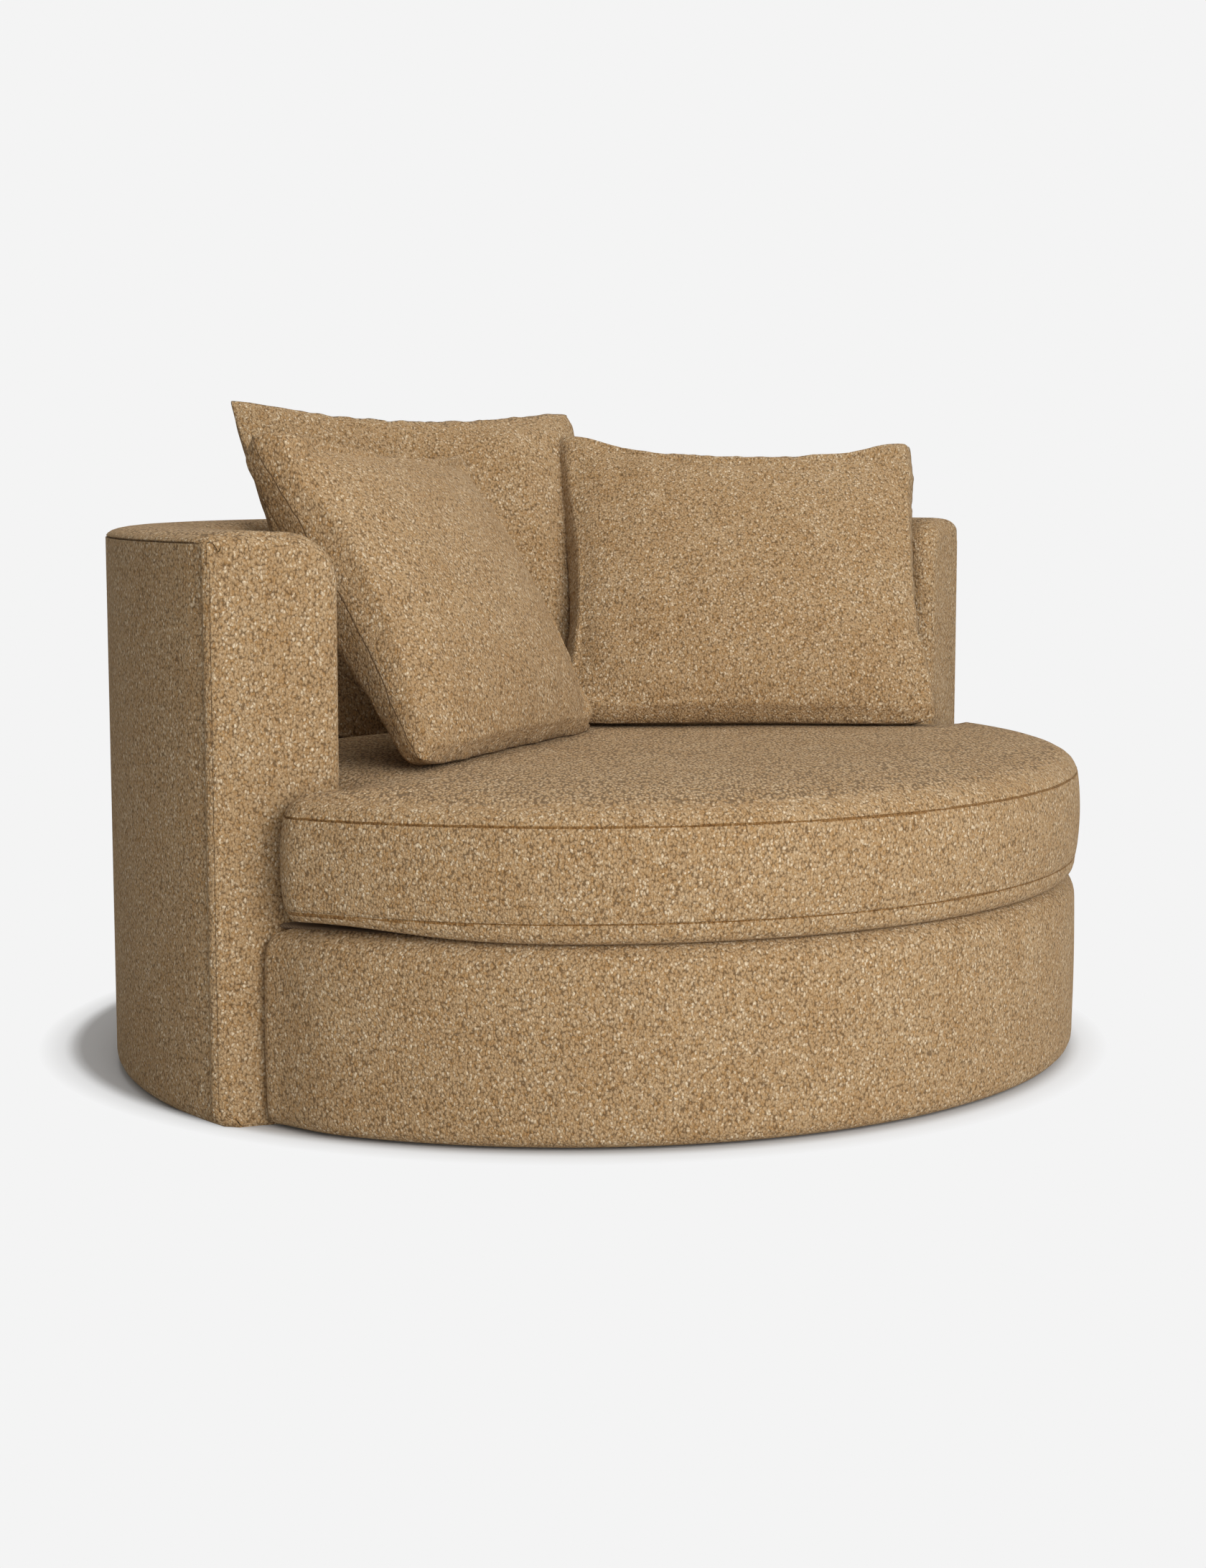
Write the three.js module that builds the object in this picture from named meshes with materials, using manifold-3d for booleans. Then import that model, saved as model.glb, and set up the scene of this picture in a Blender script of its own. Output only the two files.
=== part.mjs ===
// A round cuddle chair: a deep seat drum held in a half-round back that ends in two flat arm fronts.
// Units are millimetres, +Z is up, the front faces -Y and the origin is on the floor under the middle.
import * as THREE from "three";
import { mergeVertices } from "three/addons/utils/BufferGeometryUtils.js";
import Module from "manifold-3d";

const wasm = await Module();
wasm.setup();

// Plan of the chair, measured from the middle of the seat's round front.
const seatRadius = 700;
const backRadius = 712;
const backForward = 132;
const armDepth = 150;
const armFaceBehindCentre = 11;
const armFaceSkewDegrees = 24;
const noseRadius = 28;

// Heights and roundings of the outside.
const seamHeight = 702;
const topCornerRadius = 8;
const topCrown = 2;
const topEdgeRadius = 45;
const baseHeight = 248;
const baseTopRadius = 30;
const baseCornerRadius = 19;
const hemHeight = 8.5;
const hemRadius = 18;
const hemWidth = 36;

// Layers, and the gap between two pieces that touch.
const gap = 0.3;
const cloth = 2;
const liningBoard = 3;
const ply = 18;
const kickerPly = 20;
const padding = 9.4;
const faceBoard = 15;
const backPadding = 32.4;
const basePaddingTurn = 36;
const roomShare = 0.9;
const seenDepth = 56;
const paddedDepth = 50;

// Frame members.
const panelBottom = 10.8;
const kickerBottom = 13;
const topRibBelowSeam = 52;
const midRibHeight = 380;
const studWidth = 40;
const studDepth = 39.4;
const studSteps = [2, 6, 10, 13, 17, 21];
const postWidth = 40;
const stretcherOffset = 250;
const stretcherThickness = 20;
const stretcherFrontRoom = 100;
const stretcherBackRoom = 130;
const ringFrontWidth = 100;
const ringBackWidth = 192;

// Seat suspension and deck.
const webWidth = 50;
const webThickness = 1.5;
const webOffsetsAcross = [-300, -100, 100, 300];
const webOffsetsAlong = [-380, -150, 80];
const deckPadding = 6;
const deckCloth = 1.5;
const deckGap = 2;

// Underside.
const glideRadius = 16;
const glideFlare = 3;
const dustCloth = 1;
const glideEdgeRoom = 80;
const glideCornerRoom = 230;
const glideCornerAhead = 270;
const glideSideRoom = 152;
const glideSideBehind = 120;

// Loose seat cushion.
const cushionGap = 12;
const cushionCornerRadius = 34;
const boxingBulge = 5;
const cushionFootHeight = 248.6;
const cushionCrownHeight = 422.5;
const cushionRise = cushionCrownHeight - cushionFootHeight;
const cushionInsets = [46, 46, 16, 0, -5, -5, 0, 6, 20, 38, 46, 46, 46];
const cushionHeightShares = [
  0, 0, 0.019551, 0.117309, 0.278321, 0.606095, 0.767108,
  0.830362, 0.882116, 0.910868, 0.925244, 0.971248, 0.99425,
];
const cushionFaceShares = [1, 1, 1, 0.5, 0, 0, -0.5, -1, -1, -1, -1, -1, -1];
const cushionRingShares = [0.78, 1, 1, 1, 1, 1, 1, 1, 1, 1, 1, 0.78, 0.45];
const cushionEarSteps = [2, 3, 4, 5, 6, 7, 8, 9];
const cushionSections = cushionInsets.map((inset, step) => ({
  inset,
  height: cushionFootHeight + cushionRise * cushionHeightShares[step],
  face: cushionFaceShares[step],
  share: cushionRingShares[step],
  ears: cushionEarSteps.includes(step),
}));
const cushionFrontSteps = 12;
const cushionCornerSteps = 3;
const liningSteps = [0, 1, 3, 4, 5, 6, 8, 10, 12];
const cushionCloth = 3;
const cushionZipHeightShare = 0.39908;
const cushionZipHeight = cushionFootHeight + cushionRise * cushionZipHeightShare;
const cushionZipHalfDegrees = 24;
const cushionZipStepDegrees = 2;

// Loose pillows. Their feet are placed in shares of the back's radius and measured up from the crown.
const pillowWidth = 528;
const pillowHeight = 486;
const pillowThickness = 165;
const pillowDraw = 15;
const pillowFullness = 0.55;
const pillowDrawPower = 6;
const pillowSteps = 12;
const pillowInnerSteps = 10;
const seamHalfThickness = 5;
const seamAllowance = 12;
const pillowCloth = 3;
const insertGap = 0.5;
const pillowPlaces = [
  { name: "back_left_pillow", footShares: [-0.04326, 0.21742], footRise: -1.7, yaw: -7.8, lean: 20.8 },
  { name: "front_left_pillow", footShares: [-0.29087, -0.13876], footRise: 2.4, yaw: 21.8, lean: 32.1 },
  { name: "right_pillow", footShares: [0.34438, -0.17711], footRise: 2.2, yaw: -40, lean: 33.1 },
];

// Zips: a flat chain of tape and teeth that a slider straddles.
const zipLength = 300;
const chainThickness = 2;
const chainProud = 2.3;
const chainInner = 11;
const cushionChainInner = 3.1;
const slotInner = 14;
const sliderLength = 11;
const sliderWidth = 6;
const sliderDepth = 4.4;
const sliderStand = 0.8;
const pullLength = 9;
const pullWidth = 3;
const pullThickness = 1.2;

// How finely curves are drawn. A point and its mirror image on the front stand at angles with a fixed sum.
const arcStepDegrees = 7.5;
const springDegrees = 4.7;
const frontArcSteps = 22;
const topCornerSteps = 2;
const edgeSteps = 4;
const hemSteps = 3;
const baseCornerSteps = 4;
const ringHoleSteps = 32;
const glideSteps = 20;
const noseStepShares = [0, 0.16, 0.5, 1];
const fullTurnDegrees = 360;
const mirrorSumDegrees = 540;
const cutOverrun = 20;

const skew = THREE.MathUtils.degToRad(armFaceSkewDegrees);
const backCentre = new THREE.Vector2(0, -backForward);
const seatCentre = new THREE.Vector2(0, 0);
const faceAlong = new THREE.Vector2(Math.cos(skew), -Math.sin(skew));
const faceOut = new THREE.Vector2(-Math.sin(skew), -Math.cos(skew));
const faceCorner = new THREE.Vector2(-backRadius, armFaceBehindCentre - backForward);
const liner = cloth + gap;
const frameSide = liner + liningBoard + gap;
const ringSide = frameSide + studDepth + liner;
const coreDepth = armDepth - liner - backPadding;
const kickerDepth = liner + padding + gap;
const plateFront = kickerDepth + kickerPly + gap;
const boardInset = kickerDepth + gap;
const ribInset = boardInset + faceBoard + gap;
const panelTop = panelBottom + ply;
const ringTop = baseHeight - cloth - padding - gap;
const ringBottom = ringTop - ply;
const topRibHeight = seamHeight - topRibBelowSeam;
const ribTop = topRibHeight + ply;
const planShift = (seatRadius + boxingBulge - backRadius + backForward) / 2;

const boucle = { color: 0xb8986a, roughness: 0.95, metalness: 0 };
const foam = { color: 0xe9dfc4, roughness: 0.9, metalness: 0 };
const birch = { color: 0xd0ab78, roughness: 0.65, metalness: 0 };
const board = { color: 0x8f7756, roughness: 0.85, metalness: 0 };
const webbing = { color: 0x6a6258, roughness: 0.8, metalness: 0 };
const lining = { color: 0x2c2a29, roughness: 0.95, metalness: 0 };
const nylon = { color: 0x1d1c1b, roughness: 0.45, metalness: 0 };
const zinc = { color: 0x8d8f92, roughness: 0.35, metalness: 0.9 };
const tape = { color: 0x9c835e, roughness: 0.8, metalness: 0 };
const filling = { color: 0xf1eee6, roughness: 0.95, metalness: 0 };

const chair = new THREE.Group();
const plan = new THREE.Group();
plan.position.y = planShift;
chair.add(plan);

// Adds one named piece to a group.
function piece(name, geometry, finish, group = plan) {
  const mesh = new THREE.Mesh(geometry, new THREE.MeshStandardMaterial(finish));
  mesh.name = name;
  group.add(mesh);
  return mesh;
}

// Six times the volume that the triangles enclose, negative when they face inwards.
function signedVolume(positions, index) {
  const a = new THREE.Vector3();
  const b = new THREE.Vector3();
  const c = new THREE.Vector3();
  let total = 0;
  for (let i = 0; i < index.length; i += 3) {
    a.fromArray(positions, index[i] * 3);
    b.fromArray(positions, index[i + 1] * 3);
    c.fromArray(positions, index[i + 2] * 3);
    total += a.dot(b.cross(c));
  }
  return total;
}

// A geometry from points and triangles, turned so that its faces point out.
function closedGeometry(points, index) {
  const positions = points.flatMap((p) => [p.x, p.y, p.z]);
  if (signedVolume(positions, index) < 0) {
    for (let i = 0; i < index.length; i += 3) {
      [index[i], index[i + 1]] = [index[i + 1], index[i]];
    }
  }
  const geometry = new THREE.BufferGeometry();
  geometry.setAttribute("position", new THREE.Float32BufferAttribute(positions, 3));
  geometry.setIndex(index);
  geometry.computeVertexNormals();
  return geometry;
}

// Joins loops of equal length into a skin. Each end is closed by the triangles given for it.
function skin(loops, startCap, endCap) {
  const size = loops[0].length;
  const points = loops.flat();
  const index = [];
  for (let k = 0; k + 1 < loops.length; k++) {
    for (let i = 0; i < size; i++) {
      const j = (i + 1) % size;
      const [a, b] = [k * size + i, k * size + j];
      const [c, d] = [a + size, b + size];
      index.push(a, b, d, a, d, c);
    }
  }
  const last = (loops.length - 1) * size;
  startCap.forEach(([a, b, c]) => index.push(a, c, b));
  endCap.forEach(([a, b, c]) => index.push(last + a, last + b, last + c));
  return closedGeometry(points, index);
}

// Sweeps a profile of (depth, height) points through stations. A station turns depth into a plan point.
function sweep(profile, stations) {
  const flat = THREE.ShapeUtils.isClockWise(profile) ? [...profile].reverse() : profile;
  const cap = THREE.ShapeUtils.triangulateShape(flat, []);
  const loops = stations.map((station) =>
    flat.map((p) => {
      const at = station(p.x);
      return new THREE.Vector3(at.x, at.y, p.y);
    }),
  );
  return skin(loops, cap, cap);
}

// Closes a stack of plan loops with one point at each end.
function dome(loops, low, high) {
  const size = loops[0].length;
  const points = [...loops.flat(), low, high];
  const lowAt = points.length - 2;
  const highAt = points.length - 1;
  const last = (loops.length - 1) * size;
  const index = [];
  for (let i = 0; i < size; i++) {
    const j = (i + 1) % size;
    for (let k = 0; k + 1 < loops.length; k++) {
      const [a, b] = [k * size + i, k * size + j];
      index.push(a, b, b + size, a, b + size, a + size);
    }
    index.push(lowAt, j, i);
    index.push(highAt, last + i, last + j);
  }
  return closedGeometry(points, index);
}

// A flat plate from a plan outline, with holes.
function plate(outline, low, thickness, holes = []) {
  const shape = new THREE.Shape(outline);
  holes.forEach((hole) => shape.holes.push(new THREE.Path(hole)));
  const settings = { depth: thickness, bevelEnabled: false };
  return new THREE.ExtrudeGeometry(shape, settings).translate(0, 0, low);
}

// A box between two corners.
function block(low, high) {
  const size = high.clone().sub(low);
  const middle = high.clone().add(low).divideScalar(2);
  return new THREE.BoxGeometry(size.x, size.y, size.z).translate(middle.x, middle.y, middle.z);
}

// The manifold solid of a closed geometry.
function solidOf(geometry) {
  const bare = geometry.index ? geometry.toNonIndexed() : geometry.clone();
  bare.deleteAttribute("normal");
  bare.deleteAttribute("uv");
  const merged = mergeVertices(bare);
  return new wasm.Manifold(
    new wasm.Mesh({
      numProp: 3,
      vertProperties: merged.attributes.position.array,
      triVerts: new Uint32Array(merged.index.array),
    }),
  );
}

// The geometry of a manifold solid.
function geometryOf(solid) {
  const mesh = solid.getMesh();
  const geometry = new THREE.BufferGeometry();
  geometry.setAttribute("position", new THREE.BufferAttribute(mesh.vertProperties, 3));
  geometry.setIndex(new THREE.BufferAttribute(mesh.triVerts, 1));
  geometry.computeVertexNormals();
  return geometry;
}

// Takes the cutters out of a geometry.
function carve(geometry, ...cutters) {
  return geometryOf(cutters.reduce((left, cutter) => left.subtract(solidOf(cutter)), solidOf(geometry)));
}

// Joins two geometries that overlap.
function join(first, second) {
  return geometryOf(solidOf(first).add(solidOf(second)));
}

// Points on an arc about a plan centre, from one angle to another, both in degrees.
function arc(centre, radius, fromDegrees, toDegrees, steps) {
  return Array.from({ length: steps + 1 }, (_, i) => {
    const angle = THREE.MathUtils.degToRad(fromDegrees + ((toDegrees - fromDegrees) * i) / steps);
    return new THREE.Vector2(centre.x + radius * Math.cos(angle), centre.y + radius * Math.sin(angle));
  });
}

// How far a rounded edge has drawn in at a distance from where it ends.
function roundOff(radius, distance) {
  const left = Math.max(radius - distance, 0);
  return radius - Math.sqrt(radius * radius - left * left);
}

function mirrored(point) {
  return new THREE.Vector2(-point.x, point.y);
}

// The plan point on the left arm's front face at a depth from the outer wall, moved back by an inset.
function facePoint(depth, inset) {
  const radius = backRadius - depth;
  const y = faceCorner.y - depth * Math.tan(skew) + inset / Math.cos(skew);
  const behind = Math.max(y - backCentre.y, 0);
  return new THREE.Vector2(-Math.sqrt(radius * radius - behind * behind), y);
}

// Stations from the left arm's face round the back to the right arm's face. A nose rounds the inner edge.
function backStations(inset, nose = 0) {
  const rampEnd = armDepth - liner;
  const drawn = (depth, step) => {
    const ramp = THREE.MathUtils.clamp((depth - coreDepth) / (rampEnd - coreDepth), 0, 1);
    return depth - ramp * roundOff(nose, step);
  };
  const shares = nose ? noseStepShares : [0];
  const left = shares.map((share) => (depth) => {
    const step = share * nose;
    return facePoint(nose ? drawn(depth, step) : depth, inset + step);
  });
  const right = left.map((station) => (depth) => mirrored(station(depth))).reverse();
  const steps = Math.round(180 / arcStepDegrees);
  const angles = Array.from({ length: steps - 1 }, (_, i) => 180 - (i + 1) * arcStepDegrees);
  const all = [180 - springDegrees, ...angles, springDegrees];
  const round = all.map((degrees) => (depth) => arc(backCentre, backRadius - depth, degrees, degrees, 1)[0]);
  return [...left, ...round, ...right];
}

// Stations through the thickness of a panel on one arm's front face.
function faceStations(side, near, far) {
  return [near, far].map((inset) => (depth) => {
    const point = facePoint(depth, inset);
    return side < 0 ? point : mirrored(point);
  });
}

// Where a circle about the seat's centre meets the left arm's face plane, moved forward by a distance.
function circleOnFace(radius, ahead) {
  const start = faceCorner.clone().addScaledVector(faceOut, ahead);
  const along = start.dot(faceAlong);
  const travel = -along - Math.sqrt(along * along - start.lengthSq() + radius * radius);
  return start.addScaledVector(faceAlong, travel);
}

// The rounded corner where the drum's front meets the left arm, and the angles of the front's stations.
const cornerMiddle = circleOnFace(seatRadius - baseCornerRadius, gap + baseCornerRadius);
const cornerFrom = THREE.MathUtils.radToDeg(Math.atan2(-faceOut.y, -faceOut.x));
const cornerTo = THREE.MathUtils.radToDeg(Math.atan2(cornerMiddle.y, cornerMiddle.x)) + fullTurnDegrees;
const frontAngles = Array.from(
  { length: frontArcSteps + 1 },
  (_, i) => cornerTo + ((mirrorSumDegrees - 2 * cornerTo) * i) / frontArcSteps,
);

// The radius at which a ray from the seat's centre passes the arm face plane moved forward by a distance.
function faceRadius(degrees, ahead) {
  const ray = arc(seatCentre, 1, degrees, degrees, 1)[0];
  return (ahead + faceCorner.dot(faceOut)) / ray.dot(faceOut);
}

// Stations along the drum's front. Stations near an arm squeeze the depths that would reach its face.
function frontStations(ahead, steps, deepest) {
  const squeezed = (depth, limit) => depth * Math.min(1, limit / deepest);
  const left = Array.from({ length: steps }, (_, i) => (depth) => {
    const degrees = cornerFrom + ((cornerTo - cornerFrom) * i) / steps;
    const radius = baseCornerRadius - squeezed(depth, baseCornerRadius - 1);
    return arc(cornerMiddle, radius, degrees, degrees, 1)[0];
  });
  const right = left.map((station) => (depth) => mirrored(station(depth))).reverse();
  const round = frontAngles.map((degrees) => (depth) => {
    const nearFace = Math.min(degrees, mirrorSumDegrees - degrees);
    const room = seatRadius - faceRadius(nearFace, ahead);
    return arc(seatCentre, seatRadius - squeezed(depth, room * roomShare), degrees, degrees, 1)[0];
  });
  return [...left, ...round, ...right];
}

// The front arc of a plate that reaches the arm faces' planes, from left to right.
function frontArc(radius, ahead) {
  const start = circleOnFace(radius, ahead);
  const from = THREE.MathUtils.radToDeg(Math.atan2(start.y, start.x)) + fullTurnDegrees + 1;
  const between = frontAngles.filter((degrees) => degrees > from && degrees < mirrorSumDegrees - from);
  const points = between.map((degrees) => arc(seatCentre, radius, degrees, degrees, 1)[0]);
  return [start, ...points, mirrored(start)];
}

// The whole plan of a plate: its front arc, the arm fronts at an inset and the back arc at a depth.
function fullOutline(frontDepth, inset, sideDepth) {
  const back = backStations(inset).map((station) => station(sideDepth));
  return [...frontArc(seatRadius - frontDepth, -inset), ...back.reverse()];
}

// The plan of the deck between the arms, with a clearance all round.
function deckOutline(frontDepth, clearance) {
  const wall = backStations(0, noseRadius).map((station) => station(armDepth + clearance));
  wall[0] = facePoint(armDepth - noseRadius, -clearance);
  wall[wall.length - 1] = mirrored(wall[0]);
  return [...frontArc(seatRadius - frontDepth, clearance), ...wall.reverse()];
}

// A section through the padded top, from the outer seam to the inner edge, drawn in by an inset.
function topCurve(inset) {
  const crest = seamHeight + topCornerRadius;
  const corner = new THREE.Vector2(topCornerRadius, seamHeight);
  const edge = new THREE.Vector2(armDepth - topEdgeRadius, crest - topEdgeRadius);
  return [
    ...arc(corner, topCornerRadius - inset, 180, 90, topCornerSteps),
    new THREE.Vector2(armDepth / 2, crest + topCrown - inset),
    ...arc(edge, topEdgeRadius - inset, 90, 0, edgeSteps),
  ];
}

// A section down the outer wall and round the hem, drawn in by an inset.
function hemCurve(inset) {
  const centre = new THREE.Vector2(hemRadius, hemHeight + hemRadius);
  const turn = arc(centre, hemRadius - inset, 180, 270, hemSteps);
  return [...turn, new THREE.Vector2(hemWidth, hemHeight + inset)];
}

function at(x, y) {
  return new THREE.Vector2(x, y);
}

// Frame: the bottom panel, deck ring and ribs are cut from one board.
piece("bottom_panel", plate(fullOutline(plateFront, boardInset, hemRadius + gap), panelBottom, ply), birch);

const ringHoleFront = seatRadius - ringFrontWidth;
const ringHoleBack = backRadius - ringBackWidth;
const ringHole = Array.from({ length: ringHoleSteps }, (_, i) => {
  const angle = (i * Math.PI * 2) / ringHoleSteps;
  const lift = backForward * Math.sin(angle);
  const front = lift + Math.sqrt(lift * lift + ringHoleFront ** 2 - backForward ** 2);
  const reach = Math.min(front, ringHoleBack);
  return at(reach * Math.cos(angle), backCentre.y + reach * Math.sin(angle));
});
piece("deck_ring", plate(fullOutline(plateFront, boardInset, ringSide), ringBottom, ply, [ringHole]), birch);

// A board that follows the back, between two depths.
function backBoard(near, far, low, high, inset) {
  return sweep([at(near, low), at(far, low), at(far, high), at(near, high)], backStations(inset));
}
piece("mid_rib", backBoard(ringSide, coreDepth - gap, midRibHeight, midRibHeight + ply, ribInset), birch);
piece("top_rib", backBoard(frameSide, coreDepth - gap, topRibHeight, ribTop, ribInset), birch);

// Uprights stand on the bottom panel outside the ring and carry the top rib.
const halfStep = THREE.MathUtils.degToRad(arcStepDegrees / 2);
const studFace = (backRadius - liner - liningBoard) * Math.cos(halfStep) - gap;
studSteps.forEach((step, i) => {
  const degrees = (step + 1 / 2) * arcStepDegrees;
  const low = new THREE.Vector3(studFace - studDepth, -studWidth / 2, panelTop + gap);
  const high = new THREE.Vector3(studFace, studWidth / 2, topRibHeight - gap);
  const stud = block(low, high).rotateZ(THREE.MathUtils.degToRad(degrees));
  piece(`stud_${i + 1}`, stud.translate(0, backCentre.y, 0), birch);
});

// Each arm front: a post beside the base, a board above the deck, padding and a cover.
[["left", -1], ["right", 1]].forEach(([name, side]) => {
  const post = [
    at(hemRadius + liner, panelTop + gap),
    at(ringSide - liner / 2, panelTop + gap),
    at(ringSide - liner / 2, ringTop - gap / 2),
    at(hemRadius + liner, ringTop - gap / 2),
  ];
  piece(`arm_post_${name}`, sweep(post, faceStations(side, boardInset, boardInset + postWidth)), birch);
  const panel = [
    at(frameSide, ringTop + gap),
    at(coreDepth - gap, ringTop + gap),
    at(coreDepth - gap, ribTop),
    at(frameSide, ribTop),
  ];
  piece(`arm_board_${name}`, sweep(panel, faceStations(side, boardInset, boardInset + faceBoard)), birch);
  const pad = [
    at(liner, hemHeight + hemRadius),
    at(paddedDepth, hemHeight + hemRadius),
    at(paddedDepth, ringTop + gap),
    at(coreDepth - gap, ringTop + gap),
    at(coreDepth - gap, ribTop),
    at(liner, ribTop),
  ];
  piece(`arm_padding_${name}`, sweep(pad, faceStations(side, liner, kickerDepth)), foam);
  const crown = topCurve(liner).slice(0, -edgeSteps);
  const shoulder = topCurve(liner).at(-edgeSteps).y - cloth;
  const cover = [
    at(0, hemHeight),
    at(seenDepth, hemHeight),
    at(seenDepth, ringTop + gap),
    at(coreDepth - gap, ringTop + gap),
    at(coreDepth - gap, shoulder),
    ...crown.reverse(),
    at(liner, seamHeight - gap),
    at(0, seamHeight - gap),
  ];
  piece(`arm_cover_${name}`, sweep(cover, faceStations(side, 0, cloth)), boucle);
});

// The outer back: a bent board under a cover whose hem turns under the panel.
const hemCentreHeight = hemHeight + hemRadius;
piece("outer_board", backBoard(liner, liner + liningBoard, hemCentreHeight, ribTop, boardInset), board);
const outerCover = [
  at(0, seamHeight - gap),
  ...hemCurve(0),
  ...hemCurve(cloth).reverse(),
  at(cloth, seamHeight - gap),
];
piece("cover_outer_back", sweep(outerCover, backStations(liner, noseRadius)), boucle);

// The inner back and the top are one upholstered skin over one foam.
const foamSection = [
  ...topCurve(liner),
  at(armDepth - liner, ringTop + gap),
  at(coreDepth, ringTop + gap),
  at(coreDepth, ribTop + gap),
  at(liner, ribTop + gap),
];
piece("back_foam", sweep(foamSection, backStations(liner, noseRadius + 2 * cloth)), foam);
const innerCover = [
  ...topCurve(0),
  at(armDepth, baseHeight - cloth),
  at(armDepth - cloth, baseHeight - cloth),
  ...topCurve(cloth).reverse(),
];
piece("cover_inner_back", sweep(innerCover, backStations(0, noseRadius)), boucle);

// Base front: bent kicker, padding and the band cover, which turns over the deck and under the panel.
const frontAll = frontStations(gap, baseCornerSteps, basePaddingTurn);
const kicker = [
  at(kickerDepth, kickerBottom),
  at(kickerDepth + kickerPly, kickerBottom),
  at(kickerDepth + kickerPly, ringTop - gap),
  at(kickerDepth, ringTop - gap),
];
const kickerStations = frontAll.slice(baseCornerSteps + 1, -baseCornerSteps - 1);
piece("kicker", sweep(kicker, kickerStations), birch);
const basePaddingInner = kickerDepth - gap;
const baseEdge = at(baseTopRadius, baseHeight - baseTopRadius);
const basePad = [
  ...arc(baseEdge, baseTopRadius - liner, 180, 90, edgeSteps),
  at(basePaddingTurn, baseHeight - liner),
  at(basePaddingTurn, ringTop + gap),
  at(basePaddingInner, ringTop + gap),
  at(basePaddingInner, hemCentreHeight),
  at(liner, hemCentreHeight),
];
piece("base_padding", sweep(basePad, frontAll.slice(baseCornerSteps, -baseCornerSteps)), foam);
const baseCover = [
  ...arc(baseEdge, baseTopRadius, 180, 90, edgeSteps),
  at(basePaddingTurn, baseHeight),
  at(basePaddingTurn, baseHeight - cloth),
  ...arc(baseEdge, baseTopRadius - cloth, 90, 180, edgeSteps),
  ...hemCurve(cloth),
  ...hemCurve(0).reverse(),
];
piece("cover_base_band", sweep(baseCover, frontAll), boucle);

// Two stretchers carry the ring across the drum.
const stretcherFront = stretcherFrontRoom - seatRadius;
const stretcherBack = backRadius - backForward - stretcherBackRoom;
[-1, 1].forEach((side) => {
  const middle = side * stretcherOffset;
  const low = new THREE.Vector3(middle - stretcherThickness / 2, stretcherFront, panelTop + gap);
  const high = new THREE.Vector3(middle + stretcherThickness / 2, stretcherBack, ringBottom - gap);
  piece(side < 0 ? "stretcher_left" : "stretcher_right", block(low, high), birch);
});

// Straps cross the ring's hole and land on the ring.
const webFront = seatRadius - basePaddingTurn - deckGap;
const webWall = backRadius - armDepth - deckGap * 2;
const webLow = ringTop + gap;
webOffsetsAcross.forEach((x, i) => {
  const far = Math.abs(x) + webWidth / 2;
  const front = -Math.sqrt(webFront ** 2 - far ** 2);
  const back = backCentre.y + Math.sqrt(webWall ** 2 - far ** 2);
  const low = new THREE.Vector3(x - webWidth / 2, front, webLow);
  const high = new THREE.Vector3(x + webWidth / 2, back, webLow + webThickness);
  piece(`strap_lengthwise_${i + 1}`, block(low, high), webbing);
});
const crossLow = webLow + webThickness + gap;
webOffsetsAlong.forEach((y, i) => {
  const far = Math.abs(y) + webWidth / 2;
  const farBack = Math.abs(y - backCentre.y) + webWidth / 2;
  const reach = Math.min(Math.sqrt(webFront ** 2 - far ** 2), Math.sqrt(webWall ** 2 - farBack ** 2));
  const low = new THREE.Vector3(-reach, y - webWidth / 2, crossLow);
  const high = new THREE.Vector3(reach, y + webWidth / 2, crossLow + webThickness);
  piece(`strap_crosswise_${i + 1}`, block(low, high), webbing);
});

// The deck over the straps, and the dust cover and glides under the panel.
const deckLow = crossLow + webThickness + gap;
const deckOut = deckOutline(basePaddingTurn + deckGap, deckGap);
piece("deck_pad", plate(deckOut, deckLow, deckPadding), foam);
const deckClothLow = deckLow + deckPadding + gap;
piece("deck_cloth", plate(deckOut, deckClothLow, deckCloth), lining);
const dustOutline = fullOutline(hemWidth + gap, boardInset + gap, hemWidth + gap);
piece("dust_cover", plate(dustOutline, panelBottom - gap - dustCloth, dustCloth), lining);
const glideCorner = seatRadius - glideCornerRoom;
const glideSide = backRadius - glideSideRoom;
const glidePlaces = [
  [-glideCorner, glideCornerAhead - seatRadius],
  [0, glideEdgeRoom - seatRadius],
  [glideCorner, glideCornerAhead - seatRadius],
  [-glideSide, glideSideBehind],
  [0, backRadius - backForward - glideEdgeRoom],
  [glideSide, glideSideBehind],
];
glidePlaces.forEach(([x, y], i) => {
  const top = panelBottom - gap * 2 - dustCloth;
  const profile = [at(0, 0), at(glideRadius, 0), at(glideRadius - glideFlare, top), at(0, top)];
  const glide = new THREE.LatheGeometry(profile, glideSteps).rotateX(Math.PI / 2);
  piece(`glide_${i + 1}`, glide.translate(x, y, 0), nylon);
});

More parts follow.
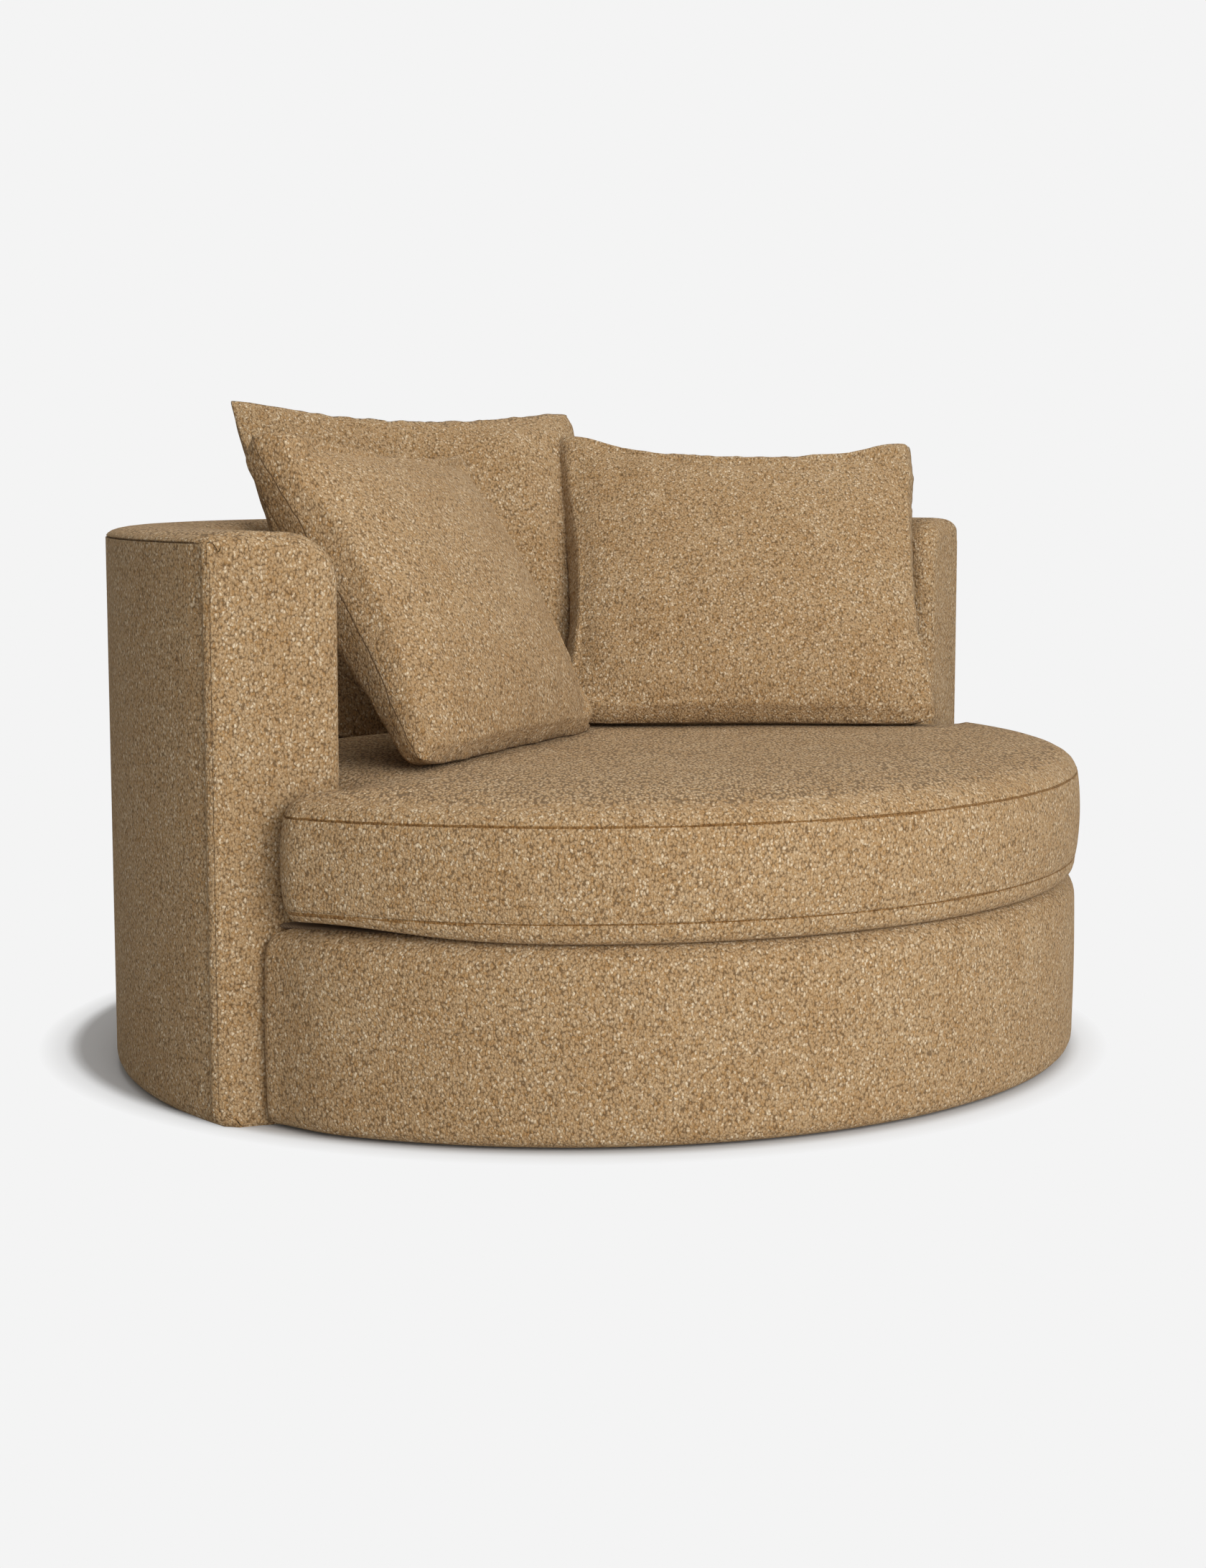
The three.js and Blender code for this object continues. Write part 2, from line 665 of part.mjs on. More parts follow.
// The seat cushion's plan drawn in by an inset. It fills the drum's round front and the space between
// the arms. Ears fill the corners in front of the arms, and without them a straight line closes each corner.
function cushionOutline(inset, ears) {
  const corner = Math.max(cushionCornerRadius - inset, liner);
  const clearance = cushionGap + inset;
  const middle = circleOnFace(seatRadius - inset - corner, clearance + corner);
  const from = THREE.MathUtils.radToDeg(Math.atan2(-faceOut.y, -faceOut.x));
  const to = THREE.MathUtils.radToDeg(Math.atan2(middle.y, middle.x)) + fullTurnDegrees;
  const left = arc(middle, corner, from, to, cushionCornerSteps);
  const round = arc(seatCentre, seatRadius - inset, to, mirrorSumDegrees - to, cushionFrontSteps);
  const front = round.slice(1, -1);
  const wall = backStations(0, noseRadius).map((station) => station(armDepth + clearance));
  wall[0] = facePoint(armDepth - noseRadius, -clearance);
  if (!ears) {
    const count = noseStepShares.length - 1;
    const line = [...left.toReversed(), ...wall.slice(0, count)];
    line.forEach((p, i) => p.lerpVectors(front[0], wall[count], (i + 1) / (line.length + 1)));
    wall.splice(-count, count, ...wall.slice(0, count).map(mirrored).reverse());
  }
  wall[wall.length - 1] = mirrored(wall[0]);
  return [...left, ...front, ...left.map(mirrored).reverse(), ...wall.reverse()];
}

// A body of the cushion's shape, inside it by a distance all round.
function cushionBody(inside, sections) {
  const loops = sections.map(({ inset, height, face, share, ears }) =>
    cushionOutline(inset + inside, ears).map((p) => {
      const y = backCentre.y + (p.y - backCentre.y) * share;
      return new THREE.Vector3(p.x * share, y, height + face * inside);
    }),
  );
  const low = new THREE.Vector3(0, backCentre.y, sections[0].height + inside);
  const high = new THREE.Vector3(0, backCentre.y, cushionCrownHeight - inside);
  return dome(loops, low, high);
}

// A band that follows the curved back of the cushion.
function cushionBand(near, far, half, halfDegrees) {
  const count = Math.round((2 * halfDegrees) / cushionZipStepDegrees);
  const stations = arc(seatCentre, 1, 90 - halfDegrees, 90 + halfDegrees, count).map(
    (ray) => (radius) => ray.clone().multiplyScalar(radius).add(backCentre),
  );
  const low = cushionZipHeight - half;
  const high = cushionZipHeight + half;
  return sweep([at(near, low), at(far, low), at(far, high), at(near, high)], stations);
}

// A slider that straddles a chain lying along X and standing out in Y, with its pull behind it.
function zipSlider() {
  const half = sliderLength / 2;
  const wide = sliderWidth / 2;
  const slot = chainThickness / 2 + gap;
  const bodyLow = new THREE.Vector3(-half, sliderStand, -wide);
  const body = block(bodyLow, new THREE.Vector3(half, sliderStand + sliderDepth, wide));
  const slotLow = new THREE.Vector3(-half - cutOverrun, -cutOverrun, -slot);
  const channel = block(slotLow, new THREE.Vector3(half + cutOverrun, chainProud + gap, slot));
  const pullTop = sliderDepth;
  const pullLow = new THREE.Vector3(half - gap, pullTop - pullThickness, -pullWidth / 2);
  const pull = block(pullLow, new THREE.Vector3(half + pullLength, pullTop, pullWidth / 2));
  return join(carve(body, channel), pull);
}

const boxingRadius = backRadius - armDepth - cushionGap + boxingBulge;
const halfChain = chainThickness / 2;
const seatCover = carve(
  cushionBody(0, cushionSections),
  cushionBody(cushionCloth, liningSteps.map((i) => cushionSections[i])),
);
const backSlot = cushionBand(
  boxingRadius - 2 * cushionCloth,
  boxingRadius + cutOverrun,
  halfChain + gap,
  cushionZipHalfDegrees + gap / 2,
);
piece("seat_cushion_cover", carve(seatCover, backSlot), boucle);
const coreInside = cushionCloth + insertGap;
const coreSections = liningSteps.map((i) => cushionSections[i]);
piece("seat_cushion_core", cushionBody(coreInside, coreSections), foam);
const seatChain = cushionBand(
  boxingRadius - cushionChainInner,
  boxingRadius + chainProud,
  halfChain,
  cushionZipHalfDegrees,
);
piece("seat_cushion_zip_chain", seatChain, tape);
const sliderStart = THREE.MathUtils.degToRad(cushionZipHalfDegrees - 2 * cushionZipStepDegrees);
const seatSlider = zipSlider()
  .translate(0, boxingRadius, cushionZipHeight)
  .rotateZ(-sliderStart)
  .translate(0, backCentre.y, 0);
piece("seat_cushion_zip_slider", seatSlider, zinc);

// A square pillow with a crowned middle, knife edges drawn in between its tips, and a flat edge seam.
function pillowBody(inside, seam, thickness, count) {
  const halfWidth = pillowWidth / 2;
  const halfHeight = pillowHeight / 2;
  const crown = thickness / 2 - seam;
  const points = [];
  [1, -1].forEach((side) => {
    for (let j = 0; j <= count; j++) {
      for (let i = 0; i <= count; i++) {
        const u = Math.sin(Math.PI * (i / count - 1 / 2));
        const v = Math.sin(Math.PI * (j / count - 1 / 2));
        const bulge = ((1 - u * u) * (1 - v * v)) ** pillowFullness;
        const x = u * (halfWidth - inside - pillowDraw * (1 - v ** pillowDrawPower));
        const y = v * (halfHeight - inside - pillowDraw * (1 - u ** pillowDrawPower));
        points.push(new THREE.Vector3(x, y, side * (seam + crown * bulge)));
      }
    }
  });
  const row = count + 1;
  const back = row * row;
  const index = [];
  for (let j = 0; j < count; j++) {
    for (let i = 0; i < count; i++) {
      const a = j * row + i;
      const b = a + row;
      index.push(a, a + 1, b + 1, a, b + 1, b);
      index.push(back + a, back + b + 1, back + a + 1, back + a, back + b, back + b + 1);
    }
  }
  const rim = [];
  for (let i = 0; i < count; i++) rim.push(i);
  for (let j = 0; j < count; j++) rim.push(j * row + count);
  for (let i = count; i > 0; i--) rim.push(count * row + i);
  for (let j = count; j > 0; j--) rim.push(j * row);
  rim.forEach((a, i) => {
    const b = rim[(i + 1) % rim.length];
    index.push(a, back + a, b, b, back + a, back + b);
  });
  return closedGeometry(points, index);
}

// Three loose pillows stand on the cushion and lean on the back, each with its zip along the bottom seam.
pillowPlaces.forEach(({ name, footShares, footRise, yaw, lean }) => {
  const turn = THREE.MathUtils.degToRad(yaw);
  const tilt = THREE.MathUtils.degToRad(lean);
  const across = new THREE.Vector3(Math.cos(turn), Math.sin(turn), 0);
  const behind = new THREE.Vector3(-Math.sin(turn), Math.cos(turn), 0);
  const up = new THREE.Vector3(0, 0, Math.cos(tilt)).addScaledVector(behind, Math.sin(tilt));
  const front = across.clone().cross(up);
  const holder = new THREE.Group();
  const [footAcross, footBack] = footShares.map((share) => share * backRadius);
  const foot = new THREE.Vector3(footAcross, footBack, cushionCrownHeight + footRise);
  const middle = foot.addScaledVector(up, pillowHeight / 2);
  holder.applyMatrix4(new THREE.Matrix4().makeBasis(across, up, front).setPosition(middle));
  plan.add(holder);
  const edge = pillowDraw - pillowHeight / 2;
  const halfZip = zipLength / 2;
  const slot = block(
    new THREE.Vector3(-halfZip - gap, edge - cutOverrun, -halfChain - gap),
    new THREE.Vector3(halfZip + gap, edge + slotInner, halfChain + gap),
  );
  const outer = pillowBody(0, seamHalfThickness, pillowThickness, pillowSteps);
  const cavity = pillowBody(
    seamAllowance,
    seamHalfThickness - pillowCloth,
    pillowThickness - 2 * pillowCloth,
    pillowInnerSteps,
  );
  piece(`${name}_cover`, carve(outer, cavity, slot), boucle, holder);
  const insert = pillowBody(
    seamAllowance + insertGap,
    seamHalfThickness - pillowCloth - insertGap,
    pillowThickness - 2 * pillowCloth - 2 * insertGap,
    pillowInnerSteps,
  );
  piece(`${name}_insert`, insert, filling, holder);
  const chain = block(
    new THREE.Vector3(-halfZip, edge - chainProud, -halfChain),
    new THREE.Vector3(halfZip, edge + chainInner, halfChain),
  );
  piece(`${name}_zip_chain`, chain, tape, holder);
  const slider = zipSlider().rotateX(Math.PI).translate(sliderLength - halfZip, edge, 0);
  piece(`${name}_zip_slider`, slider, zinc, holder);
});

export default chair;
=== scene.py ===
# A round cuddle chair in tan boucle: a drum seat held in a half-round back that ends in two flat arm fronts.
# Metres, +Z up, the front faces -Y. The pieces come in the order in which an upholsterer puts them together.
import math

import bmesh
import bpy
from mathutils import Matrix, Vector, noise


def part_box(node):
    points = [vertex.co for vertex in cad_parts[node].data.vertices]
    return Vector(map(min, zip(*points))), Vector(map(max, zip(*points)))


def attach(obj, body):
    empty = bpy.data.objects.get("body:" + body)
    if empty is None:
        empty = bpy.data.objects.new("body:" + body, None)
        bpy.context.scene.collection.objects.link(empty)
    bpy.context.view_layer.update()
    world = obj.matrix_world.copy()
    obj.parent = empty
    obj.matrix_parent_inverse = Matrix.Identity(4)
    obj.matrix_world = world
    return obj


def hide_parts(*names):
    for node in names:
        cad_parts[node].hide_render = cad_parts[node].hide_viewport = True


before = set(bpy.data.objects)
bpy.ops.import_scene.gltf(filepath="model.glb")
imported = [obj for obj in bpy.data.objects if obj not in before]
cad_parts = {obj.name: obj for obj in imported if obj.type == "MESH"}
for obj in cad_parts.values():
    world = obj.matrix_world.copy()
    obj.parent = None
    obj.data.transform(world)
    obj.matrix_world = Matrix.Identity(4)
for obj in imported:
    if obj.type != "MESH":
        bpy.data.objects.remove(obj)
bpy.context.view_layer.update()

# Camera: low and close, an eighth of a turn to the left of the front, at the photograph's angle.
camera_lens = bpy.data.cameras.new("camera")
camera_lens.lens = 76.66
camera_lens.sensor_width = 36
camera_lens.sensor_fit = "HORIZONTAL"
camera = bpy.data.objects.new("camera", camera_lens)
camera.location = (-2.5044, -2.5353, 0.7836)
camera.rotation_euler = (math.radians(83.12), 0, math.radians(-44.61))
bpy.context.scene.collection.objects.link(camera)
bpy.context.scene.camera = camera
bpy.context.scene.view_settings.view_transform = "Standard"


# Studio: a pale floor that runs into a pale surround, two broad soft lamps in front of the chair and
# a weaker one above it. The lamps stay at a level where a colour renders much as written.
def linear(code, alpha=1.0):
    """The linear colour of an sRGB hex code."""
    parts = [int(code[i : i + 2], 16) / 255 for i in (1, 3, 5)]
    return tuple(c / 12.92 if c <= 0.04045 else ((c + 0.055) / 1.055) ** 2.4 for c in parts) + (alpha,)


def material(name):
    """A new material, with its node tree and its shader."""
    made = bpy.data.materials.new(name)
    made.use_nodes = True
    shader = made.node_tree.nodes["Principled BSDF"]
    return made, made.node_tree, shader


def add(tree, kind, inputs=(), **settings):
    """One new node. Inputs are given by socket name or number, as a value or as the socket to link."""
    node = tree.nodes.new("ShaderNode" + kind)
    for name, value in settings.items():
        setattr(node, name, value)
    for name, value in dict(inputs).items():
        if isinstance(value, bpy.types.NodeSocket):
            tree.links.new(value, node.inputs[name])
        else:
            node.inputs[name].default_value = value
    return node


surround = "#F4F4F4"
bpy.ops.object.select_all(action="DESELECT")
bpy.ops.mesh.primitive_circle_add(vertices=96, radius=9.0, fill_type="NGON")
floor = bpy.context.object
floor.name = "floor"
floor_finish, tree = material("matte_studio_floor")[:2]
place = add(tree, "TexCoord").outputs["Object"]
# The floor keeps its shadows at the drum's edge and in a patch by the left arm, and fades into the surround.
from_drum = add(tree, "VectorMath", {0: place, 1: (0, 0.0625, 0)}, operation="DISTANCE").outputs["Value"]
edge = add(tree, "MapRange", {"Value": from_drum, "From Min": 0.70, "From Max": 0.75}).outputs[0]
lit = add(tree, "MapRange", {"Value": from_drum, "From Min": 0.69, "From Max": 0.715, "To Max": 0.55})
from_patch = add(tree, "VectorMath", {0: place, 1: (-0.20, 0.16, 0)}, operation="DISTANCE").outputs["Value"]
patch = add(tree, "MapRange", {"Value": from_patch, "From Min": 0.40, "From Max": 0.51})
patch.interpolation_type = "SMOOTHSTEP"
fade = add(tree, "Math", {0: edge, 1: patch.outputs[0]}, operation="MINIMUM")
matte = add(tree, "BsdfDiffuse", {"Color": linear("#D6D6D6")})
glow = add(tree, "Emission", {"Color": linear(surround), "Strength": 1.0})
rays = add(tree, "LightPath")
seen = add(tree, "MixShader", {0: lit.outputs[0], 1: matte.outputs[0], 2: glow.outputs[0]})
far = add(tree, "MixShader", {0: fade.outputs[0], 1: seen.outputs[0], 2: glow.outputs[0]})
either = add(tree, "MixShader", {0: rays.outputs["Is Camera Ray"], 1: matte.outputs[0], 2: far.outputs[0]})
tree.links.new(either.outputs[0], tree.nodes["Material Output"].inputs["Surface"])
floor.data.materials.append(floor_finish)

world = bpy.data.worlds.new("studio")
world.use_nodes = True
bpy.context.scene.world = world
tree = world.node_tree
rays = add(tree, "LightPath")
direct = rays.outputs["Is Camera Ray"]
for kind in ("Is Glossy Ray", "Is Transmission Ray"):
    direct = add(tree, "Math", {0: direct, 1: rays.outputs[kind]}, operation="MAXIMUM").outputs[0]
shade = add(tree, "Background", {"Color": linear("#F2F1EF"), "Strength": 0.36})
white = add(tree, "Background", {"Color": linear(surround), "Strength": 1.0})
sky = add(tree, "MixShader", {0: direct, 1: shade.outputs[0], 2: white.outputs[0]})
tree.links.new(sky.outputs[0], tree.nodes["World Output"].inputs["Surface"])


def lamp(name, place, target, size, power):
    """A square soft lamp that shines from a place to a target."""
    light = bpy.data.lights.new(name, "AREA")
    light.size = size
    light.energy = power
    holder = bpy.data.objects.new(name, light)
    holder.location = place
    holder.rotation_euler = (Vector(target) - Vector(place)).to_track_quat("-Z", "Y").to_euler()
    bpy.context.scene.collection.objects.link(holder)


lamp("key", (-0.5, -4.6, 2.3), (0, 0, 0.35), 2.6, 106)
lamp("fill", (-2.1, -4.4, 1.5), (0, 0, 0.4), 3.4, 137)
lamp("top", (0.4, 0.4, 4.0), (0, 0, 0.3), 3.0, 60)


# Frame: the beech posts, stretchers and studs, and the birch plywood panels, ribs and ring that carry the
# rest. Rotary-cut ply shows long flat grain, fine pores and pale and dark bands.
def coordinates(tree, scale=(1, 1, 1), turn=(0, 0, 0)):
    """The piece's own place, stretched and turned."""
    place = add(tree, "TexCoord").outputs["Object"]
    return add(tree, "Mapping", {"Vector": place, "Rotation": turn, "Scale": scale}).outputs[0]


def ramp(tree, value, stops, smooth="LINEAR"):
    """A colour ramp through (position, hex colour) stops."""
    node = add(tree, "ValToRGB", {0: value})
    node.color_ramp.interpolation = smooth
    band = node.color_ramp.elements
    while len(band) < len(stops):
        band.new(0.5)
    for element, (position, code) in zip(band, stops):
        element.position = position
        element.color = linear(code)
    return node.outputs["Color"]


def dressed(tree, shader, colour, roughness, relief, strength, depth):
    """Gives a finish its colour and roughness, and its relief as a bump of a depth in metres."""
    tree.links.new(colour, shader.inputs["Base Color"])
    shader.inputs["Roughness"].default_value = roughness
    bump = add(tree, "Bump", {"Height": relief, "Strength": strength, "Distance": depth})
    tree.links.new(bump.outputs[0], shader.inputs["Normal"])


def woven(tree, threads, stray):
    """Two sets of threads that cross, bright where both lie on top."""
    place = coordinates(tree)
    sets = [
        add(tree, "TexWave", {"Vector": place, "Scale": threads, "Distortion": stray}, bands_direction=way)
        for way in "XY"
    ]
    warp, weft = (wave.outputs["Fac"] for wave in sets)
    return add(tree, "Math", {0: warp, 1: weft}, operation="MULTIPLY").outputs[0]


birch, tree, shader = material("birch_plywood")
place = coordinates(tree, (2, 14, 60))
figure = add(tree, "TexNoise", {"Vector": place, "Scale": 3.0, "Detail": 6.0, "Distortion": 0.6})
pores = add(tree, "TexNoise", {"Vector": coordinates(tree, (60, 60, 900)), "Scale": 4.0}).outputs["Fac"]
veneer = ramp(tree, figure.outputs["Fac"], [(0.3, "#C49A66"), (0.5, "#D4AF7C"), (0.7, "#DDBE8F")])
dressed(tree, shader, veneer, 0.55, pores, 0.25, 0.0006)

beech, tree, shader = material("planed_beech")
place = coordinates(tree, (25, 25, 2))
grain = add(tree, "TexNoise", {"Vector": place, "Scale": 6.0, "Detail": 5.0}).outputs["Fac"]
dressed(tree, shader, ramp(tree, grain, [(0.35, "#B98E62"), (0.65, "#D2A97B")]), 0.5, grain, 0.2, 0.0006)


def finish(finish_material, *names):
    """Gives CAD nodes, by a part of their names, a finish in every slot."""
    for name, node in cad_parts.items():
        if any(part in name for part in names):
            for slot in node.material_slots:
                slot.material = finish_material


finish(birch, "bottom_panel", "deck_ring", "mid_rib", "top_rib", "kicker", "arm_board")
finish(beech, "stud", "arm_post", "stretcher")

# Outer board: 3 mm hardboard bent round the back under the cover, brown with short fibres.
hardboard, tree, shader = material("bent_hardboard")
fibres = add(tree, "TexNoise", {"Vector": coordinates(tree), "Scale": 420.0, "Detail": 4.0}).outputs["Fac"]
dressed(tree, shader, ramp(tree, fibres, [(0.35, "#7C6244"), (0.65, "#A1855F")]), 0.8, fibres, 0.4, 0.0004)
finish(hardboard, "outer_board")

# Seat suspension: woven elastic webbing, dark and light threads crossed, stretched over the deck ring.
webbing, tree, shader = material("elastic_webbing")
weave = woven(tree, 190.0, 0.4)
elastic = ramp(tree, weave, [(0.0, "#2F2A26"), (0.5, "#6E665C"), (1.0, "#8D8474")])
dressed(tree, shader, elastic, 0.75, weave, 0.5, 0.0008)
finish(webbing, "strap")

# Glides and zips: black moulded nylon on the floor, and nylon chain with a plated slider in each loose cover.
nylon, tree, shader = material("black_nylon")
mould = add(tree, "TexNoise", {"Vector": coordinates(tree), "Scale": 900.0, "Detail": 3.0}).outputs["Fac"]
tree.links.new(ramp(tree, mould, [(0.3, "#151414"), (0.7, "#24221F")]), shader.inputs["Base Color"])
tree.links.new(ramp(tree, mould, [(0.3, "#606060"), (0.7, "#8C8C8C")]), shader.inputs["Roughness"])
finish(nylon, "glide")

chain, tree, shader = material("tan_zip_chain")
teeth = add(tree, "TexWave", {"Vector": coordinates(tree), "Scale": 320.0}, bands_direction="X")
teeth = teeth.outputs["Fac"]
dressed(tree, shader, ramp(tree, teeth, [(0.1, "#6B5537"), (0.6, "#A98D62")]), 0.5, teeth, 0.7, 0.0006)
finish(chain, "zip_chain")

plated, tree, shader = material("nickel_plated_zinc")
wear = add(tree, "TexNoise", {"Vector": coordinates(tree), "Scale": 260.0, "Detail": 4.0}).outputs["Fac"]
tree.links.new(ramp(tree, wear, [(0.3, "#8A8C8F"), (0.7, "#B4B5B7")]), shader.inputs["Base Color"])
tree.links.new(ramp(tree, wear, [(0.3, "#3C3C3C"), (0.7, "#6A6A6A")]), shader.inputs["Roughness"])
shader.inputs["Metallic"].default_value = 1.0
finish(plated, "zip_slider")

# Underside: a black spunbonded dust cover, stapled to the bottom panel.
lining, tree, shader = material("black_lining")
web = add(tree, "TexVoronoi", {"Vector": coordinates(tree), "Scale": 520.0}).outputs["Distance"]
dressed(tree, shader, ramp(tree, web, [(0.1, "#3A3735"), (0.6, "#1B1A19")]), 0.9, web, 0.4, 0.0004)
finish(lining, "dust_cover")


# Cover cloth: a tan boucle. Looped yarns in camel and cream stand up as nubs about 3 mm across, with painted
# shade in the gaps between them and a painted highlight on their tops, and the nubs run slightly taller than
# wide down a wall.
def boucle_cloth(name, shade="#FFFFFF"):
    """The boucle: nubs of looped yarn, each a little paler or warmer than the next, painted dark in the gaps
    as shade and pale on the tops as highlight. On level faces the nubs lie over, and the attribute rim paints
    a dark line of shade round a knife edge."""
    made, tree, shader = material(name)
    place = coordinates(tree, (1, 1, 0.74))
    stir = add(tree, "TexNoise", {"Vector": place, "Scale": 210.0, "Detail": 2.0}).outputs["Color"]
    stir = add(tree, "VectorMath", {0: stir, 1: (0.5, 0.5, 0.5)}, operation="SUBTRACT").outputs[0]
    stir = add(tree, "VectorMath", {0: stir, "Scale": 0.0045}, operation="SCALE").outputs[0]
    place = add(tree, "VectorMath", {0: place, 1: stir}, operation="ADD").outputs[0]
    nub = add(tree, "TexVoronoi", {"Vector": place, "Scale": 375.0})
    rise = {"Value": nub.outputs["Distance"], "From Min": 0.1, "From Max": 0.85, "To Min": 1.0, "To Max": 0.0}
    height = add(tree, "MapRange", rise)
    curl = add(tree, "TexNoise", {"Vector": place, "Scale": 700.0, "Detail": 3.0, "Roughness": 0.6})
    rough = add(tree, "Math", {0: curl.outputs["Fac"], 1: 0.9, 2: -0.45}, operation="MULTIPLY_ADD").outputs[0]
    relief = add(tree, "Math", {0: height.outputs[0], 1: rough}, operation="ADD", use_clamp=True).outputs[0]
    lie = {"Vector": place, "Rotation": (0, 0, math.radians(45)), "Scale": (2.6, 1, 1)}
    laid = add(tree, "Mapping", lie, vector_type="TEXTURE").outputs[0]
    flat_nub = add(tree, "TexVoronoi", {"Vector": laid, "Scale": 300.0}).outputs["Distance"]
    rise = {"Value": flat_nub, "From Min": 0.15, "From Max": 0.75, "To Min": 0.95, "To Max": -0.05}
    flat_relief = add(tree, "MapRange", rise)
    level = add(tree, "SeparateXYZ", {0: add(tree, "TexCoord").outputs["Normal"]}).outputs[2]
    level = add(tree, "MapRange", {"Value": level, "From Min": 0.82, "From Max": 0.97}).outputs[0]
    relief = add(tree, "Mix", {0: level, 2: relief, 3: flat_relief.outputs[0]}, data_type="FLOAT").outputs[0]
    # The colour follows the relief: painted shade in the gaps between the nubs and a painted highlight on
    # their tops.
    body = ramp(tree, relief, [(0.05, "#6F5B44"), (0.30, "#9A8264"), (0.65, "#AC9474"), (1.0, "#BCA688")])
    yarn = add(tree, "SeparateColor", {0: nub.outputs["Color"]}).outputs[0]
    warm = ramp(tree, yarn, [(0.0, "#EFDCBC"), (0.35, "#FFF8EC"), (1.0, "#FFFDF8")])
    body = add(tree, "Mix", {0: 1.0, 6: body, 7: warm}, data_type="RGBA", blend_type="MULTIPLY").outputs[2]
    fleck = add(tree, "MapRange", {"Value": yarn, "From Min": 0.80, "From Max": 0.96}).outputs[0]
    fleck = add(tree, "Math", {0: fleck, 1: relief}, operation="MULTIPLY").outputs[0]
    fleck = add(tree, "Math", {0: fleck, 1: 0.7}, operation="MULTIPLY").outputs[0]
    cream = linear("#E9DAC0")
    cloth = add(tree, "Mix", {0: fleck, 6: body, 7: cream}, data_type="RGBA").outputs[2]
    cloud = add(tree, "TexNoise", {"Vector": place, "Scale": 14.0, "Detail": 4.0}).outputs["Fac"]
    cloud = ramp(tree, cloud, [(0.3, "#F4EFE8"), (0.7, "#FFFFFF")])
    for tint in (cloud, linear(shade)):
        cloth = add(tree, "Mix", {0: 1.0, 6: cloth, 7: tint}, data_type="RGBA", blend_type="MULTIPLY")
        cloth = cloth.outputs[2]
    # Round a pillow's knife edge the colour turns dark brown: painted shade in the crease of the seam.
    knife_edge_shade = add(tree, "Attribute", {}, attribute_name="rim").outputs["Fac"]
    line = {"Value": knife_edge_shade, "From Min": 0.9982, "From Max": 0.9993}
    knife_edge_shade = add(tree, "MapRange", line).outputs[0]
    cloth = add(tree, "Mix", {0: knife_edge_shade, 6: cloth, 7: linear("#5C4630")}, data_type="RGBA").outputs[2]
    dressed(tree, shader, cloth, 0.95, relief, 0.7, 0.0016)
    shader.inputs["Specular IOR Level"].default_value = 0.12
    shader.inputs["Sheen Weight"].default_value = 0.1
    shader.inputs["Sheen Roughness"].default_value = 0.6
    shader.inputs["Sheen Tint"].default_value = linear("#E8D6B8")
    return made


boucle = boucle_cloth("tan_boucle")
# A darker copy of the boucle for the panels' rims: painted shade in the seams.
seam_shade_cloth = boucle_cloth("tan_boucle_painted_seam_shade", shade="#7A5F40")
# A slightly darker copy of the boucle for the cushion's seams: light painted shade in the seam grooves.
light_seam_shade_cloth = boucle_cloth("tan_boucle_painted_light_seam_shade", shade="#CFBB9C")

# Back and arms: foam over the ribs, covered in two sewn panels. One wraps the arms' outsides and turns under
# at the hem. The other covers the crowned top, the inside wall, the arm fronts and the middle of the back.
wall = 0.712
ring = Vector((0, -0.0695, 0))
ring_steps = 110
arm_depth = 0.150
arm_turn = math.radians(24)
arm_reach = 0.1
hem = 0.0035
hem_round = 0.018
hem_lap = 0.036
hem_band = (0.020, 0.022)
seam = 0.702
shoulder = 0.654
shoulder_rise = 0.0575
shoulder_run = 0.052
fold_outside = 0.009
fold_at_seam = 0.015
fold_start = 0.668
nose = 0.028
nose_top = 0.66
fold_steps = 7
corner = Vector((-0.7119, -0.0585, 0))
along = Vector((math.cos(arm_turn), -math.sin(arm_turn), 0))
ahead = Vector((along.y, -along.x, 0))


def fresh():
    """Leaves edit mode with nothing selected."""
    if bpy.context.object and bpy.context.object.mode != "OBJECT":
        bpy.ops.object.mode_set(mode="OBJECT")
    bpy.ops.object.select_all(action="DESELECT")


def pick_edges(test):
    """In edit mode, selects just the edges of which both ends pass a test."""
    bpy.ops.mesh.select_mode(type="EDGE")
    bpy.ops.mesh.select_all(action="DESELECT")
    mesh = bmesh.from_edit_mesh(bpy.context.edit_object.data)
    for edge in mesh.edges:
        edge.select_set(all(test(v.co) for v in edge.verts))
    bmesh.update_edit_mesh(bpy.context.edit_object.data)


def edited(piece):
    """Goes into edit mode on one piece, with all of it selected."""
    fresh()
    piece.select_set(True)
    bpy.context.view_layer.objects.active = piece
    bpy.ops.object.mode_set(mode="EDIT")
    bpy.ops.mesh.select_all(action="SELECT")


def mirrored(v):
    return Vector((-v.x, v.y, v.z))


# The section through the back: how far in from the outer wall, and how high.
section = [(arm_depth, hem), (hem_lap, hem)]
turns = [math.radians(270 - 18 * i) for i in range(6)]
section += [(hem_round + hem_round * math.cos(t), hem + hem_round + hem_round * math.sin(t)) for t in turns]
section += [(0, 0.14), (0, 0.26), (0, 0.38), (0, 0.50), (0, 0.61), (0, 0.68), (0, seam)]
section += [(0.0018, 0.7043), (0.0055, 0.7066), (0.012, 0.7087), (0.021, 0.7104), (0.034, 0.7118)]
section += [(0.050, 0.7127), (0.066, 0.7129), (0.084, 0.7122)]
turns = [math.radians(a) for a in (84, 74, 64, 54, 44, 34, 24, 15, 7, 0)]
section += [
    (arm_depth - shoulder_run * (1 - math.cos(t)), shoulder + shoulder_rise * math.sin(t)) for t in turns
]
section += [(arm_depth, 0.60), (arm_depth, 0.50), (arm_depth, 0.38), (arm_depth, 0.24)]
points = [(wall - t, ring.y, z) for t, z in section]
mesh = bpy.data.meshes.new("shell")
mesh.from_pydata(points, [(i, (i + 1) % len(points)) for i in range(len(points))], [])
